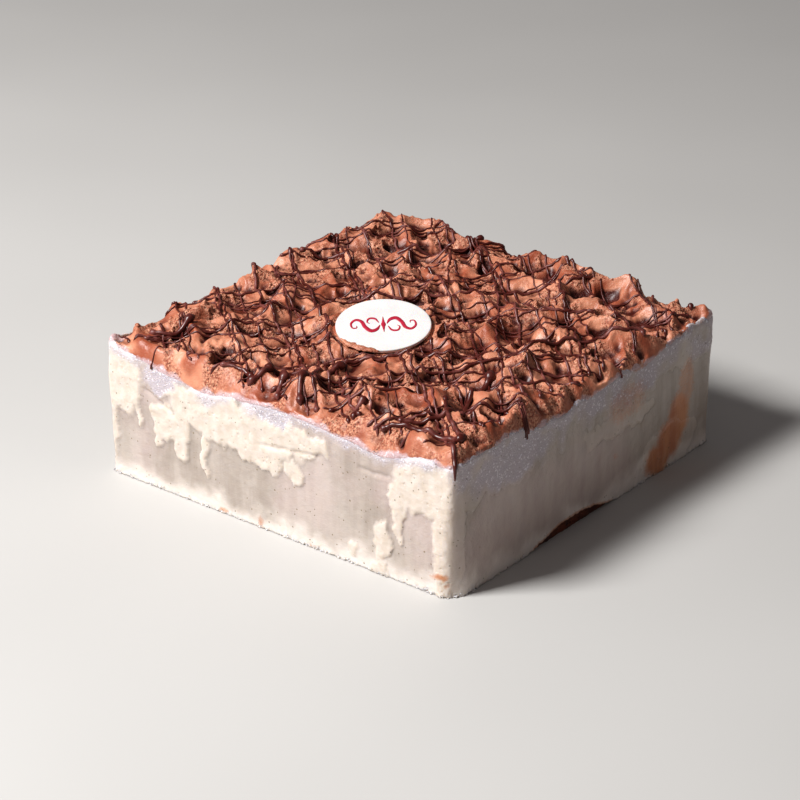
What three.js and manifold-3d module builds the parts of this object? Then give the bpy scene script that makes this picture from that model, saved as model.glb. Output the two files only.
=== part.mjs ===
// A square ice cream cake: vanilla ice cream on a thin sponge, a heaped and scooped chocolate
// ice cream top, chocolate drizzle over it, and a plain oval plaque lying on the heap.
// Millimetres, +Z up. The origin is at the middle of the cake's underside.
// The lit face of the cake looks along -Y and the shaded one along +X.

import * as THREE from 'three';
import { mergeVertices } from 'three/addons/utils/BufferGeometryUtils.js';
import Module from 'manifold-3d';

// Driving sizes
const SIDE = 200;
const HALF = SIDE / 2;
const GAP = 0.3;
const CELLS = 40;
const EDGE_ROUNDING = 3;

// Sponge base
const SPONGE_HEIGHT = 6.5;
const SPONGE_INSET = 5.4;
const SPONGE_BULGE = 3.6;

// Vanilla body. Rim heights run at equal steps along each side, seen from outside, left to right.
const FACE_INSET = 1;
const SKIRT_INSET = 5;
const RIM_INSET = 2.65;
const POCKET_FLOOR = 53;
const WALL_ROWS = 7;
const RIM_HEIGHTS = {
  front: [65, 61.5, 58.5, 56, 58.5, 60.5, 60, 58, 56, 60.5, 61],
  right: [61, 62, 62.5, 58, 57.5, 59, 61, 59, 62, 63.5, 64],
  back: [64, 61, 60, 62, 59, 60.5, 62, 60, 58.5, 61, 63],
  left: [63, 60, 58, 60.5, 62, 59.5, 60, 62, 61, 62, 65],
};
// The bottom edge is lifted here, which shows the sponge.
const RECESS = { middle: -14, halfWidth: 29, plateau: 0.58, rise: 6.6 };
// The front corner is worn round towards its foot.
const WORN_CORNER = { depth: 7, reach: 30 };

// Thick opaque smears on the four walls: along the wall, up, half width, half height.
const SMEARS = {
  front: [
    [-90, 50, 11, 16], [-98, 28, 5, 18], [-57, 52, 16, 5], [-65, 36, 8, 9], [-54, 31, 5, 12],
    [-20, 46, 38, 13], [-40, 24, 3, 9], [10, 49, 22, 6], [11, 32, 7, 6], [86, 48, 18, 16],
    [71, 26, 4, 11], [97, 25, 6, 26], [61, 15, 6, 11], [46, 7, 3, 3], [0, 2, 110, 5],
  ],
  right: [[-88, 52, 16, 12], [-40, 58, 30, 5], [22, 38, 26, 6], [64, 10, 22, 11], [80, 56, 26, 8]],
  back: [[-70, 46, 24, 12], [-30, 40, 14, 14], [12, 48, 26, 9], [66, 44, 30, 12], [0, 2, 110, 5]],
  left: [[-64, 48, 30, 10], [-16, 42, 12, 14], [30, 50, 22, 8], [78, 44, 20, 15], [0, 2, 110, 5]],
};

// Chocolate heap: a field of mounds and crags, bitten into by scoops and small pits.
const TOP_INSET = 0.5;
const LIP_RISE = 2.2;
const LIP_WIDTH = 8;
const LEVEL = { edge: 64, rise: 2.5, width: 20 };
const SPILL = 1.1;
const MOUNDS = {
  seed: 17, pitch: 25, small: 14, large: 22, foot: -2, low: 6, high: 12, favour: 1, hook: 0.8, power: 0.75,
};
const CRAGS = {
  seed: 33, pitch: 14.5, small: 5, large: 9, foot: 1, low: 2, high: 12, favour: 2, hook: 2.2, power: 0.7,
};
const SCOOPS = {
  seed: 905, pitch: 17, small: 7, large: 13, floor: -2.5, spread: 9, curve: [5, 10], slant: [2, 7],
};
const PITS = {
  seed: 5, pitch: 21, small: 2.5, large: 5, floor: -5, spread: 5, curve: [7, 7], slant: [0, 0],
};
// Swells that lift the heap, along the skyline and under the plaque: x, y, radius, rise.
const SWELLS = [
  [-82, 80, 20, 4.5], [-57, 84, 13, 3], [-29, 88, 14, 3], [4, 88, 15, 3], [28, 86, 13, 2],
  [56, 88, 8, 4], [-88, -56, 13, 3], [-92, -4, 13, 4], [-90, 24, 12, 3],
  [-7, -10, 15, 6], [-14, -34, 10, 3], [19, -11, 12, 4],
];

// Plaque
const PLAQUE = {
  x: 1, y: -23.8, z: 72.8, halfLength: 21.5, halfWidth: 17.5, thickness: 1.8,
  facing: 38.5, turn: 3.7, tilt: 18,
};

// Drizzle: two families of wavy strands that cross each other, and short heavy strokes.
const STRANDS = [
  { seed: 41, heading: 50, count: 27, wander: 5, spread: 9 },
  { seed: 77, heading: -38, count: 27, wander: 5, spread: 9 },
];
const STRAND_RADIUS = { thin: 0.55, thick: 1.15 };
const BANDS = 3;
const STRAND_STEP = 6;
const STRAND_SIDES = 3;
const STRAND_SAG = 0.05;
const STRAND_END_INSET = 3;
// Strokes: start, end, sideways bow, radius.
const STROKES = [
  [[55, -94], [92, -84], 3, 1.5], [[60, -88], [76, -66], -4, 1.1], [[8, -84], [6, -58], 2, 1.2],
  [[-24, -92], [-8, -74], -2, 1.2], [[80, -70], [66, -30], 3, 1.3],
];

// Helpers shared by the pieces

function* draws(seed) {
  let state = seed;
  while (true) {
    state = (state * 16807) % 2147483647;
    yield state / 2147483647;
  }
}

function clamp01(value) {
  return Math.min(Math.max(value, 0), 1);
}

function smoothstep(value) {
  const t = clamp01(value);
  return t * t * (3 - 2 * t);
}

function blend(heights, position) {
  const place = clamp01(position) * (heights.length - 1);
  const index = Math.min(Math.floor(place), heights.length - 2);
  const share = smoothstep(place - index);
  return heights[index] * (1 - share) + heights[index + 1] * share;
}

// The walk round the cake: CELLS columns on each side, counter-clockwise from the front left corner.
const WALLS = ['front', 'right', 'back', 'left'];

function column(index) {
  const wall = Math.floor(index / CELLS) % 4;
  const along = -HALF + (SIDE * (index % CELLS)) / CELLS;
  return { wall: WALLS[wall], along };
}

function onSquare(wall, along, half) {
  const t = (along * half) / HALF;
  const corners = { front: [t, -half], right: [half, t], back: [-t, half], left: [-half, -t] };
  return corners[wall];
}

// Rounds the corners of every square ring about the middle by the same share of its size.
function roundCorner([x, y], radius) {
  const ring = Math.max(Math.abs(x), Math.abs(y));
  const bend = (radius * ring) / HALF;
  const overX = Math.abs(x) - (ring - bend);
  const overY = Math.abs(y) - (ring - bend);
  if (overX <= 0 || overY <= 0) return [x, y];
  const reach = Math.hypot(overX, overY);
  if (reach <= bend) return [x, y];
  return [
    Math.sign(x) * (ring - bend + (overX * bend) / reach),
    Math.sign(y) * (ring - bend + (overY * bend) / reach),
  ];
}

// A closed solid from rings of equal length, the first and the last one closed by a flat fan.
function ringSolid(rings) {
  const count = rings[0].length;
  const positions = rings.flat(2);
  const middles = [rings[0], rings[rings.length - 1]].map((ring) => [0, 0, ring[0][2]]);
  positions.push(...middles.flat());
  const firstMiddle = rings.length * count;
  const faces = [];
  for (let j = 0; j < count; j += 1) {
    const next = (j + 1) % count;
    for (let k = 0; k + 1 < rings.length; k += 1) {
      const low = k * count;
      const high = low + count;
      faces.push(low + j, low + next, high + next, low + j, high + next, high + j);
    }
    const last = (rings.length - 1) * count;
    faces.push(firstMiddle, next, j, firstMiddle + 1, last + j, last + next);
  }
  return indexedGeometry(positions, faces);
}

function indexedGeometry(positions, faces) {
  const geometry = new THREE.BufferGeometry();
  geometry.setAttribute('position', new THREE.Float32BufferAttribute(positions, 3));
  geometry.setIndex(faces);
  return geometry;
}

// Wall shape

function smearDepth(wall, along, z) {
  const ragged = along + 1.6 * Math.sin(z / 3.1) + 0.9 * Math.sin(z / 1.3 + along / 4);
  const lifted = z + 1.5 * Math.sin(along / 2.9 + 1) + 0.8 * Math.sin(along / 1.2);
  let depth = 0;
  for (const [middle, height, halfWidth, halfHeight] of SMEARS[wall]) {
    const reach = Math.hypot((ragged - middle) / halfWidth, (lifted - height) / halfHeight);
    depth = Math.max(depth, smoothstep((1.15 - reach) / 0.3));
  }
  return depth;
}

// How far a place is inside the recess: 1 in its middle stretch, 0 at its ends and beyond.
function recessDepth(wall, along) {
  if (wall !== 'right') return 0;
  const place = Math.abs(along - RECESS.middle) / RECESS.halfWidth;
  return smoothstep((1 - place) / (1 - RECESS.plateau));
}

function skirtHeight(wall, along) {
  const ragged = 0.75 + 0.3 * Math.sin(along / 2.3) + 0.15 * Math.sin(along / 0.9 + 2);
  return ragged + RECESS.rise * recessDepth(wall, along);
}

function rimHeight(wall, along) {
  return blend(RIM_HEIGHTS[wall], (along + HALF) / SIDE);
}

function cornerRounding([x, y], z) {
  const near = smoothstep(1 - Math.hypot(x - HALF, y + HALF) / WORN_CORNER.reach);
  return EDGE_ROUNDING + WORN_CORNER.depth * near * clamp01(1 - z / POCKET_FLOOR);
}

function wallPoint(index, inset, z) {
  const { wall, along } = column(index);
  const square = onSquare(wall, along, HALF - inset);
  return [...roundCorner(square, cornerRounding(square, z)), z];
}

function wallRing(insetAt, heightAt) {
  const ring = [];
  for (let index = 0; index < 4 * CELLS; index += 1) {
    const { wall, along } = column(index);
    ring.push(wallPoint(index, insetAt(wall, along), heightAt(wall, along)));
  }
  return ring;
}

// Heap shape

function makeBlobs({ seed, pitch, small, large }) {
  const rand = draws(seed);
  const count = Math.round(SIDE / pitch);
  const step = SIDE / count;
  const blobs = [];
  for (let i = 0; i < count; i += 1) {
    for (let j = 0; j < count; j += 1) {
      blobs.push({
        x: (i + 0.5 + SPILL * (rand.next().value - 0.5)) * step - HALF,
        y: (j + 0.5 + SPILL * (rand.next().value - 0.5)) * step - HALF,
        radius: small + (large - small) * rand.next().value,
        angle: 2 * Math.PI * rand.next().value,
        stretch: 1 + 0.8 * rand.next().value,
        taper: rand.next().value,
        rise: rand.next().value,
      });
    }
  }
  return blobs;
}

const mounds = makeBlobs(MOUNDS);
const crags = makeBlobs(CRAGS);
const scoops = makeBlobs(SCOOPS);
const pits = makeBlobs(PITS);

// Place of a point in a blob's own frame, in radii along and across it.
function inBlob(x, y, { x: cx, y: cy, radius, angle, stretch }) {
  const dx = x - cx;
  const dy = y - cy;
  return {
    u: (dx * Math.cos(angle) + dy * Math.sin(angle)) / (radius * stretch),
    v: (dy * Math.cos(angle) - dx * Math.sin(angle)) / radius,
  };
}

function dome(u, v, power) {
  return clamp01(1 - u * u - v * v) ** power;
}

// Raises a height to the rounded, one-sidedly steep lumps of a family.
function raise(start, level, x, y, blobs, { foot, low, high, favour, hook, power }) {
  return blobs.reduce((height, blob) => {
    const { u, v } = inBlob(x, y, blob);
    const steep = u > 0 ? u * (1 + hook * blob.taper) : u * 0.9;
    const tall = low + (high - low) * blob.rise ** favour;
    return Math.max(height, level + foot + tall * dome(steep, v, power));
  }, start);
}

// Cuts a height down to the slanting bowls of a family.
function bite(start, level, x, y, blobs, { floor, spread, curve, slant }) {
  return blobs.reduce((height, blob) => {
    const { u, v } = inBlob(x, y, blob);
    const mix = ([low, high]) => low + (high - low) * blob.rise;
    const bowl = level + floor + spread * blob.taper + mix(curve) * (u * u + v * v) - mix(slant) * u;
    return Math.min(height, bowl);
  }, start);
}

function heapHeight(x0, y0) {
  const edge = HALF - Math.max(Math.abs(x0), Math.abs(y0));
  const x = x0 + 2.4 * Math.sin(y0 / 6.3 + 0.7) + 1.2 * Math.sin((x0 + y0) / 3.4 + 2);
  const y = y0 + 2.4 * Math.sin(x0 / 6.9 + 1.9) + 1.2 * Math.sin((x0 - y0) / 3.7 + 0.5);
  const swells = SWELLS.map(([cx, cy, radius, rise]) => {
    return rise * dome((x - cx) / radius, (y - cy) / radius, 0.7);
  });
  const level = LEVEL.edge + LEVEL.rise * smoothstep(edge / LEVEL.width) + Math.max(...swells);
  const heaped = raise(level, level, x, y, mounds, MOUNDS);
  const craggy = raise(heaped, level, x, y, crags, CRAGS);
  const scooped = bite(craggy, level, x, y, scoops, SCOOPS);
  return bite(scooped, level, x, y, pits, PITS);
}

function lipHeight(x, y) {
  const size = Math.max(Math.abs(x), Math.abs(y), 1) / HALF;
  const [sx, sy] = [x / size, y / size];
  const sides = { front: -sy, right: sx, back: sy, left: -sx };
  const alongs = { front: sx, right: sy, back: -sx, left: -sy };
  const wall = WALLS.reduce((best, name) => (sides[name] > sides[best] ? name : best));
  return rimHeight(wall, alongs[wall]) + LIP_RISE + 0.5 * Math.sin(alongs[wall] / 5);
}

// The plaque's frame: long axis, axis up its slope, and the direction it faces.
function plaqueAxes() {
  const facing = THREE.MathUtils.degToRad(PLAQUE.facing);
  const tilt = THREE.MathUtils.degToRad(PLAQUE.tilt);
  const long = new THREE.Vector3(Math.cos(facing), Math.sin(facing), 0);
  const slope = new THREE.Vector3(
    -Math.sin(facing) * Math.cos(tilt), Math.cos(facing) * Math.cos(tilt), Math.sin(tilt));
  const normal = new THREE.Vector3().crossVectors(long, slope);
  const turn = THREE.MathUtils.degToRad(PLAQUE.turn);
  long.applyAxisAngle(normal, turn);
  slope.applyAxisAngle(normal, turn);
  return { long, slope, normal };
}

const plaqueFrame = plaqueAxes();

// Height of the plane just under the plaque, or Infinity away from it.
function plaqueCeiling(x, y) {
  const { long, slope, normal } = plaqueFrame;
  const dx = x - PLAQUE.x;
  const dy = y - PLAQUE.y;
  const dz = -(normal.x * dx + normal.y * dy) / normal.z;
  const offset = new THREE.Vector3(dx, dy, dz);
  const margin = 1.5;
  const reach = Math.hypot(
    offset.dot(long) / (PLAQUE.halfLength + margin), offset.dot(slope) / (PLAQUE.halfWidth + margin));
  return reach > 1 ? Infinity : PLAQUE.z + dz - GAP - 0.2;
}

function topHeight(x, y) {
  const edge = HALF - Math.max(Math.abs(x), Math.abs(y));
  const share = smoothstep((edge - TOP_INSET) / LIP_WIDTH);
  const lip = lipHeight(x, y);
  const heap = Math.max(heapHeight(x, y), POCKET_FLOOR + 5);
  return Math.min(lip * (1 - share) + heap * share, plaqueCeiling(x, y));
}

// Pieces

function makeSponge() {
  const bulge = (wall, along) => {
    const inside = RECESS.plateau * RECESS.halfWidth - Math.abs(along - RECESS.middle);
    return wall === 'right' ? smoothstep(inside / SPONGE_INSET) : 0;
  };
  const crumb = (along) => 0.15 * Math.sin(along / 2.1);
  const side = (wall, along) => SPONGE_INSET + crumb(along) - SPONGE_BULGE * bulge(wall, along);
  return ringSolid([
    wallRing(side, () => 0),
    wallRing(side, () => SPONGE_HEIGHT),
  ]);
}

function makeVanilla() {
  const skirt = (wall, along) => skirtHeight(wall, along);
  const rings = [
    wallRing(() => SKIRT_INSET, () => SPONGE_HEIGHT + GAP),
    wallRing(() => SKIRT_INSET, skirt),
  ];
  for (let row = 0; row <= WALL_ROWS; row += 1) {
    const share = row / WALL_ROWS;
    const heightAt = (wall, along) => skirt(wall, along) * (1 - share) + rimHeight(wall, along) * share;
    const insetAt = (wall, along) => {
      return FACE_INSET * (1 - smearDepth(wall, along, heightAt(wall, along)));
    };
    rings.push(wallRing(insetAt, heightAt));
  }
  rings.push(wallRing(() => RIM_INSET, rimHeight));
  rings.push(wallRing(() => RIM_INSET, () => POCKET_FLOOR));
  return ringSolid(rings);
}

function makeHeap() {
  const under = (wall, along) => rimHeight(wall, along) + GAP;
  const rings = [
    wallRing(() => RIM_INSET + GAP, () => POCKET_FLOOR + GAP),
    wallRing(() => RIM_INSET + GAP, under),
    wallRing(() => TOP_INSET, under),
  ];
  const count = 4 * CELLS;
  const positions = rings.flat(2);
  const faces = [];
  const gridStart = rings.length * count;
  const gridIndex = (i, j) => gridStart + i * (CELLS + 1) + j;
  for (let i = 0; i <= CELLS; i += 1) {
    for (let j = 0; j <= CELLS; j += 1) {
      const reach = 2 * (HALF - TOP_INSET);
      const x = (i / CELLS - 0.5) * reach;
      const y = (j / CELLS - 0.5) * reach;
      const z = topHeight(x, y);
      positions.push(...roundCorner([x, y], cornerRounding([x, y], z)), z);
      if (i < CELLS && j < CELLS) {
        const a = gridIndex(i, j);
        const b = gridIndex(i + 1, j);
        const c = gridIndex(i + 1, j + 1);
        const d = gridIndex(i, j + 1);
        faces.push(...((i + j) % 2 ? [a, b, c, a, c, d] : [a, b, d, b, c, d]));
      }
    }
  }
  const border = (index) => {
    const t = index % CELLS;
    const back = CELLS - t;
    const walls = [gridIndex(t, 0), gridIndex(CELLS, t), gridIndex(back, CELLS), gridIndex(0, back)];
    return walls[Math.floor(index / CELLS) % 4];
  };
  const middle = positions.length / 3;
  positions.push(0, 0, POCKET_FLOOR + GAP);
  for (let j = 0; j < count; j += 1) {
    const next = (j + 1) % count;
    for (let k = 0; k < rings.length; k += 1) {
      const low = k * count;
      const isLast = k + 1 === rings.length;
      const high = isLast ? border(j) : low + count + j;
      const highNext = isLast ? border(next) : low + count + next;
      faces.push(low + j, low + next, highNext, low + j, highNext, high);
    }
    faces.push(middle, next, j);
  }
  return indexedGeometry(positions, faces);
}

// One strand's route over the heap: a wavy line clipped to the top and laid on the crags.
function strandPaths({ seed, heading, count, wander, spread }) {
  const rand = draws(seed);
  const direction = THREE.MathUtils.degToRad(heading);
  const [dx, dy] = [Math.cos(direction), Math.sin(direction)];
  const reach = HALF * 1.3;
  const paths = [];
  for (let index = 0; index < count; index += 1) {
    const shift = -reach + (2 * reach * (index + 0.5)) / count + spread * (rand.next().value - 0.5);
    const waves = [wander * rand.next().value, 20 + 25 * rand.next().value, 6.3 * rand.next().value];
    const ripples = [0.9 * rand.next().value, 5 + 5 * rand.next().value, 6.3 * rand.next().value];
    const weight = rand.next().value;
    const points = [];
    for (let t = -reach; t <= reach; t += STRAND_STEP) {
      const side = shift + waves[0] * Math.sin(t / waves[1] + waves[2])
        + ripples[0] * Math.sin(t / ripples[1] + ripples[2]);
      const x = dx * t - dy * side;
      const y = dy * t + dx * side;
      if (Math.max(Math.abs(x), Math.abs(y)) < HALF - STRAND_END_INSET) points.push([x, y]);
    }
    const radius = STRAND_RADIUS.thin + (STRAND_RADIUS.thick - STRAND_RADIUS.thin) * weight ** 2;
    paths.push({ points, radius, weight });
  }
  return paths;
}

// Of each band of neighbouring strands the heaviest, so that they spread evenly over the top.
function heaviestInBands(paths) {
  const size = Math.ceil(paths.length / BANDS);
  return Array.from({ length: BANDS }, (_, band) => paths
    .slice(band * size, (band + 1) * size)
    .filter(({ points }) => points.length > 12)
    .reduce((best, path) => (path.weight > best.weight ? path : best)));
}

function strokePath([start, end, bow, radius]) {
  const length = Math.hypot(end[0] - start[0], end[1] - start[1]);
  const steps = Math.round(length / STRAND_STEP) + 1;
  const across = [(start[1] - end[1]) / length, (end[0] - start[0]) / length];
  const points = [];
  for (let step = 0; step <= steps; step += 1) {
    const share = step / steps;
    const swing = bow * Math.sin(Math.PI * share);
    points.push([0, 1].map((axis) => {
      return start[axis] + (end[axis] - start[axis]) * share + across[axis] * swing;
    }));
  }
  return { points, radius };
}

function layOnHeap(points, radius) {
  const rest = points.map(([x, y]) => topHeight(x, y) + 0.4 * radius);
  const heights = [...rest];
  for (let pass = 0; pass < 6; pass += 1) {
    for (let i = 1; i + 1 < heights.length; i += 1) {
      const bridge = (heights[i - 1] + heights[i + 1]) / 2 - STRAND_SAG * STRAND_STEP ** 2;
      heights[i] = Math.max(rest[i], bridge);
    }
  }
  return points.map(([x, y], i) => new THREE.Vector3(x, y, heights[i]));
}

function makeStrands() {
  const strands = STRANDS.flatMap((family) => heaviestInBands(strandPaths(family)));
  return [...strands, ...STROKES.map(strokePath)].map(({ points, radius }) => {
    const route = new THREE.CatmullRomCurve3(layOnHeap(points, radius));
    const section = new THREE.Shape();
    for (let corner = 0; corner < STRAND_SIDES; corner += 1) {
      const angle = (2 * Math.PI * corner) / STRAND_SIDES;
      const place = [radius * 1.2 * Math.cos(angle), radius * 1.2 * Math.sin(angle)];
      if (corner === 0) section.moveTo(...place);
      else section.lineTo(...place);
    }
    return new THREE.ExtrudeGeometry(section, {
      steps: points.length, extrudePath: route, bevelEnabled: false, curveSegments: 1,
    });
  });
}

function ellipsePrism(grow, below, above) {
  const outline = new THREE.Shape();
  outline.absellipse(0, 0, PLAQUE.halfLength + grow, PLAQUE.halfWidth + grow, 0, 2 * Math.PI);
  const prism = new THREE.ExtrudeGeometry(outline, {
    depth: below + above, bevelEnabled: false, curveSegments: 28,
  });
  prism.translate(0, 0, -below);
  return prism;
}

function placeOnPlaqueFrame(target) {
  const { long, slope, normal } = plaqueFrame;
  target.setFromRotationMatrix(new THREE.Matrix4().makeBasis(long, slope, normal));
}

// Joining and cutting

const wasm = await Module();
wasm.setup();

function toSolid(geometry) {
  const bare = geometry.clone();
  bare.deleteAttribute('normal');
  bare.deleteAttribute('uv');
  const merged = mergeVertices(bare, 1e-4);
  return new wasm.Manifold(new wasm.Mesh({
    numProp: 3,
    vertProperties: new Float32Array(merged.attributes.position.array),
    triVerts: new Uint32Array(merged.index.array),
  }));
}

function toGeometry(solid) {
  const mesh = solid.getMesh();
  return indexedGeometry(Array.from(mesh.vertProperties), Array.from(mesh.triVerts));
}

function largestPiece(solid) {
  const pieces = solid.decompose();
  return pieces.reduce((best, piece) => (piece.volume() > best.volume() ? piece : best));
}

function makeTop() {
  let solid = toSolid(makeHeap());
  for (const strand of makeStrands()) solid = solid.add(toSolid(strand));
  const clearance = ellipsePrism(GAP + 0.1, GAP + 0.1, PLAQUE.thickness + 15);
  const turn = new THREE.Quaternion();
  placeOnPlaqueFrame(turn);
  clearance.applyQuaternion(turn);
  clearance.translate(PLAQUE.x, PLAQUE.y, PLAQUE.z);
  return toGeometry(largestPiece(solid.subtract(toSolid(clearance))));
}

function addPiece(group, name, geometry, color, roughness) {
  const material = new THREE.MeshStandardMaterial({ color, roughness, metalness: 0, flatShading: true });
  const mesh = new THREE.Mesh(geometry, material);
  mesh.name = name;
  group.add(mesh);
  return mesh;
}

const cake = new THREE.Group();
cake.name = 'ice_cream_cake';
addPiece(cake, 'sponge_base', makeSponge(), 0x5a2a1a, 0.9);
addPiece(cake, 'vanilla_ice_cream', makeVanilla(), 0xe9e0cf, 0.5);
addPiece(cake, 'chocolate_ice_cream', makeTop(), 0x9a5a40, 0.5);
const plaque = addPiece(cake, 'oval_plaque', ellipsePrism(0, 0, PLAQUE.thickness), 0xfaf8f5, 0.4);
plaque.position.set(PLAQUE.x, PLAQUE.y, PLAQUE.z);
placeOnPlaqueFrame(plaque.quaternion);

export default cake;
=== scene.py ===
# %% [markdown]
# An ice cream cake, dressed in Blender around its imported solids. The solids give the sizes and
# places: a thin sponge, a vanilla body, a heap of scooped chocolate ice cream and an oval plaque.
# Each is replaced here by a finer mesh that follows the same rule, so nothing moves or grows.
# Lengths are worked out in millimetres, as a cook would measure them, and each mesh is made in
# metres at the very end.

# %% Load the frame
import math
import bpy
import numpy as np
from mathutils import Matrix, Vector
from mathutils.bvhtree import BVHTree


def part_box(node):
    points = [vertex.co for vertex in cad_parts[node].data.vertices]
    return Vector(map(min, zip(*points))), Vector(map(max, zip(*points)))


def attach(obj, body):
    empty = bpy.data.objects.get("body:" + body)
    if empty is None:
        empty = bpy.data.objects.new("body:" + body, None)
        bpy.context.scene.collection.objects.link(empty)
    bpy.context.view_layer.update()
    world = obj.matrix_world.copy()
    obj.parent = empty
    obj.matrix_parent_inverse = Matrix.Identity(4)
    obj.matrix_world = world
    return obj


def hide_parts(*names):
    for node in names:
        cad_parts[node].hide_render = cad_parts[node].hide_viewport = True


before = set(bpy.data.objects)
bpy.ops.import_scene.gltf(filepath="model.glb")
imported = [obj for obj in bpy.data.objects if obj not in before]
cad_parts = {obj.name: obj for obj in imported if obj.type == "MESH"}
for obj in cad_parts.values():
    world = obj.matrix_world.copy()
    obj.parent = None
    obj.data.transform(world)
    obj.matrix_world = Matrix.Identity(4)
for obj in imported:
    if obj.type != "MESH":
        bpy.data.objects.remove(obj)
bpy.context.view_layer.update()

MM = 0.001
body_low, body_high = [np.array(corner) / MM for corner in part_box("vanilla_ice_cream")]
SIDE = round(float(body_high[0] - body_low[0]), 1)
HALF = SIDE / 2
print("cake side", SIDE, "mm; nodes:", sorted(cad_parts))

# %% [markdown]
# The camera stands where the photographer stood, a little above the cake and off to one corner.
# It was found by matching the seven corners of the square cake. It comes first, so that every
# later step can be judged in the right view.

# %% Camera at the photo's angle
CAMERA_AZIMUTH = 38.52
CAMERA_ELEVATION = 25.02
CAMERA_DISTANCE = 1.22
CAMERA_TARGET = Vector((-0.0425, 0.0427, 0))
FOCAL_LENGTH = 112.5


def toward(azimuth, elevation):
    """Unit vector from the cake towards a place, with azimuth 0 in front of the lit wall."""
    a, e = math.radians(azimuth), math.radians(elevation)
    return Vector((math.sin(a) * math.cos(e), -math.cos(a) * math.cos(e), math.sin(e)))


def aim(thing, target):
    """Turns a camera or a light to face a target."""
    thing.rotation_mode = "QUATERNION"
    thing.rotation_quaternion = (target - thing.location).to_track_quat("-Z", "Y")


camera = bpy.data.objects.new("camera", bpy.data.cameras.new("camera"))
bpy.context.collection.objects.link(camera)
camera.data.lens = FOCAL_LENGTH
camera.data.clip_end = 50
camera.location = CAMERA_TARGET + toward(CAMERA_AZIMUTH, CAMERA_ELEVATION) * CAMERA_DISTANCE
aim(camera, CAMERA_TARGET)
bpy.context.scene.camera = camera
print("camera at", [round(c, 3) for c in camera.location])

# %% [markdown]
# Everything uneven on the cake comes from two sources. A small generator of draws, which the
# solids use too, scatters the mounds, scoops and strands. Smooth gradient noise adds the fine
# grain that the solids leave out. Both start from fixed seeds, so each run gives the same cake.

# %% Draws, easing and noise
def draws(seed):
    """An endless row of even numbers between 0 and 1, the same on any computer."""
    state = seed
    while True:
        state = state * 16807 % 2147483647
        yield state / 2147483647


def smoothstep(value):
    t = np.clip(value, 0, 1)
    return t * t * (3 - 2 * t)


def noise(x, y, size, seed, period=0):
    """Gradient noise of about -1 to 1 with lumps of a given size. x repeats after period lumps."""
    angles = np.random.default_rng(seed).uniform(0, 2 * math.pi, (512, 512))
    u, v = np.asarray(x) / size, np.asarray(y) / size
    i, j = np.floor(u).astype(int), np.floor(v).astype(int)
    du, dv = u - i, v - j

    def corner(di, dj):
        column = (i + di) % period if period else i + di
        angle = angles[column % 512, (j + dj) % 512]
        return np.cos(angle) * (du - di) + np.sin(angle) * (dv - dj)

    su, sv = [t * t * t * (t * (t * 6 - 15) + 10) for t in (du, dv)]
    low = corner(0, 0) * (1 - su) + corner(1, 0) * su
    high = corner(0, 1) * (1 - su) + corner(1, 1) * su
    return 1.6 * (low * (1 - sv) + high * sv)


def layered(x, y, size, seed, layers=3, period=0):
    """Noise with finer and weaker noise on top, each layer half the size of the last."""
    total = 0
    for layer in range(layers):
        share = 0.5 ** layer
        total = total + share * noise(x, y, size * share, seed + layer, period * 2 ** layer)
    return total


print("noise test", round(float(noise(3.3, 4.4, 2.0, 1)), 4))

# %% [markdown]
# The heap is a field of heights. Round mounds and sharper crags are raised from a level that
# swells under the skyline's peaks, then slanting scoops and small pits are bitten out, the way a
# spatula does it. These are the solids' own sizes and draws, so both surfaces agree.

# %% Sizes of the heap, as in the solids
GAP = 0.3
SPONGE_HEIGHT = 6.5
POCKET_FLOOR = 53
RIM_HEIGHTS = [
    [65, 61.5, 58.5, 56, 58.5, 60.5, 60, 58, 56, 60.5, 61],
    [61, 62, 62.5, 58, 57.5, 59, 61, 59, 62, 63.5, 64],
    [64, 61, 60, 62, 59, 60.5, 62, 60, 58.5, 61, 63],
    [63, 60, 58, 60.5, 62, 59.5, 60, 62, 61, 62, 65],
]
# Every table by wall runs front, right, back, left.
FRONT, RIGHT = 0, 1
TOP_INSET = 0.5
LIP_RISE = 2.2
LIP_WIDTH = 8
LEVEL = dict(edge=64, rise=2.5, width=20)
MOUNDS = dict(seed=17, pitch=25, small=14, large=22)
MOUND_FORM = dict(foot=-2, low=6, high=12, favour=1, hook=0.8, power=0.75)
CRAGS = dict(seed=33, pitch=14.5, small=5, large=9)
CRAG_FORM = dict(foot=1, low=2, high=12, favour=2, hook=2.2, power=0.7)
SCOOPS = dict(seed=905, pitch=17, small=7, large=13)
SCOOP_FORM = dict(floor=-2.5, spread=9, curve=(5, 10), slant=(2, 7))
PITS = dict(seed=5, pitch=21, small=2.5, large=5)
PIT_FORM = dict(floor=-5, spread=5, curve=(7, 7), slant=(0, 0))
SWELLS = [
    (-82, 80, 20, 4.5), (-57, 84, 13, 3), (-29, 88, 14, 3), (4, 88, 15, 3), (28, 86, 13, 2),
    (56, 88, 8, 4), (-88, -56, 13, 3), (-92, -4, 13, 4), (-90, 24, 12, 3),
    (-7, -10, 15, 6), (-14, -34, 10, 3), (19, -11, 12, 4),
]
print("swells:", len(SWELLS))

# %% Blobs and the heights they make
def make_blobs(seed, pitch, small, large, spill=1.1):
    """Blobs on a loose grid: x, y, radius, angle, stretch, taper, rise."""
    rand = draws(seed)
    count = round(SIDE / pitch)
    step = SIDE / count
    blobs = []
    for i in range(count):
        for j in range(count):
            x = (i + 0.5 + spill * (next(rand) - 0.5)) * step - HALF
            y = (j + 0.5 + spill * (next(rand) - 0.5)) * step - HALF
            radius = small + (large - small) * next(rand)
            turn = [2 * math.pi * next(rand), 1 + 0.8 * next(rand)]
            blobs.append([x, y, radius, *turn, next(rand), next(rand)])
    return blobs


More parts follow.
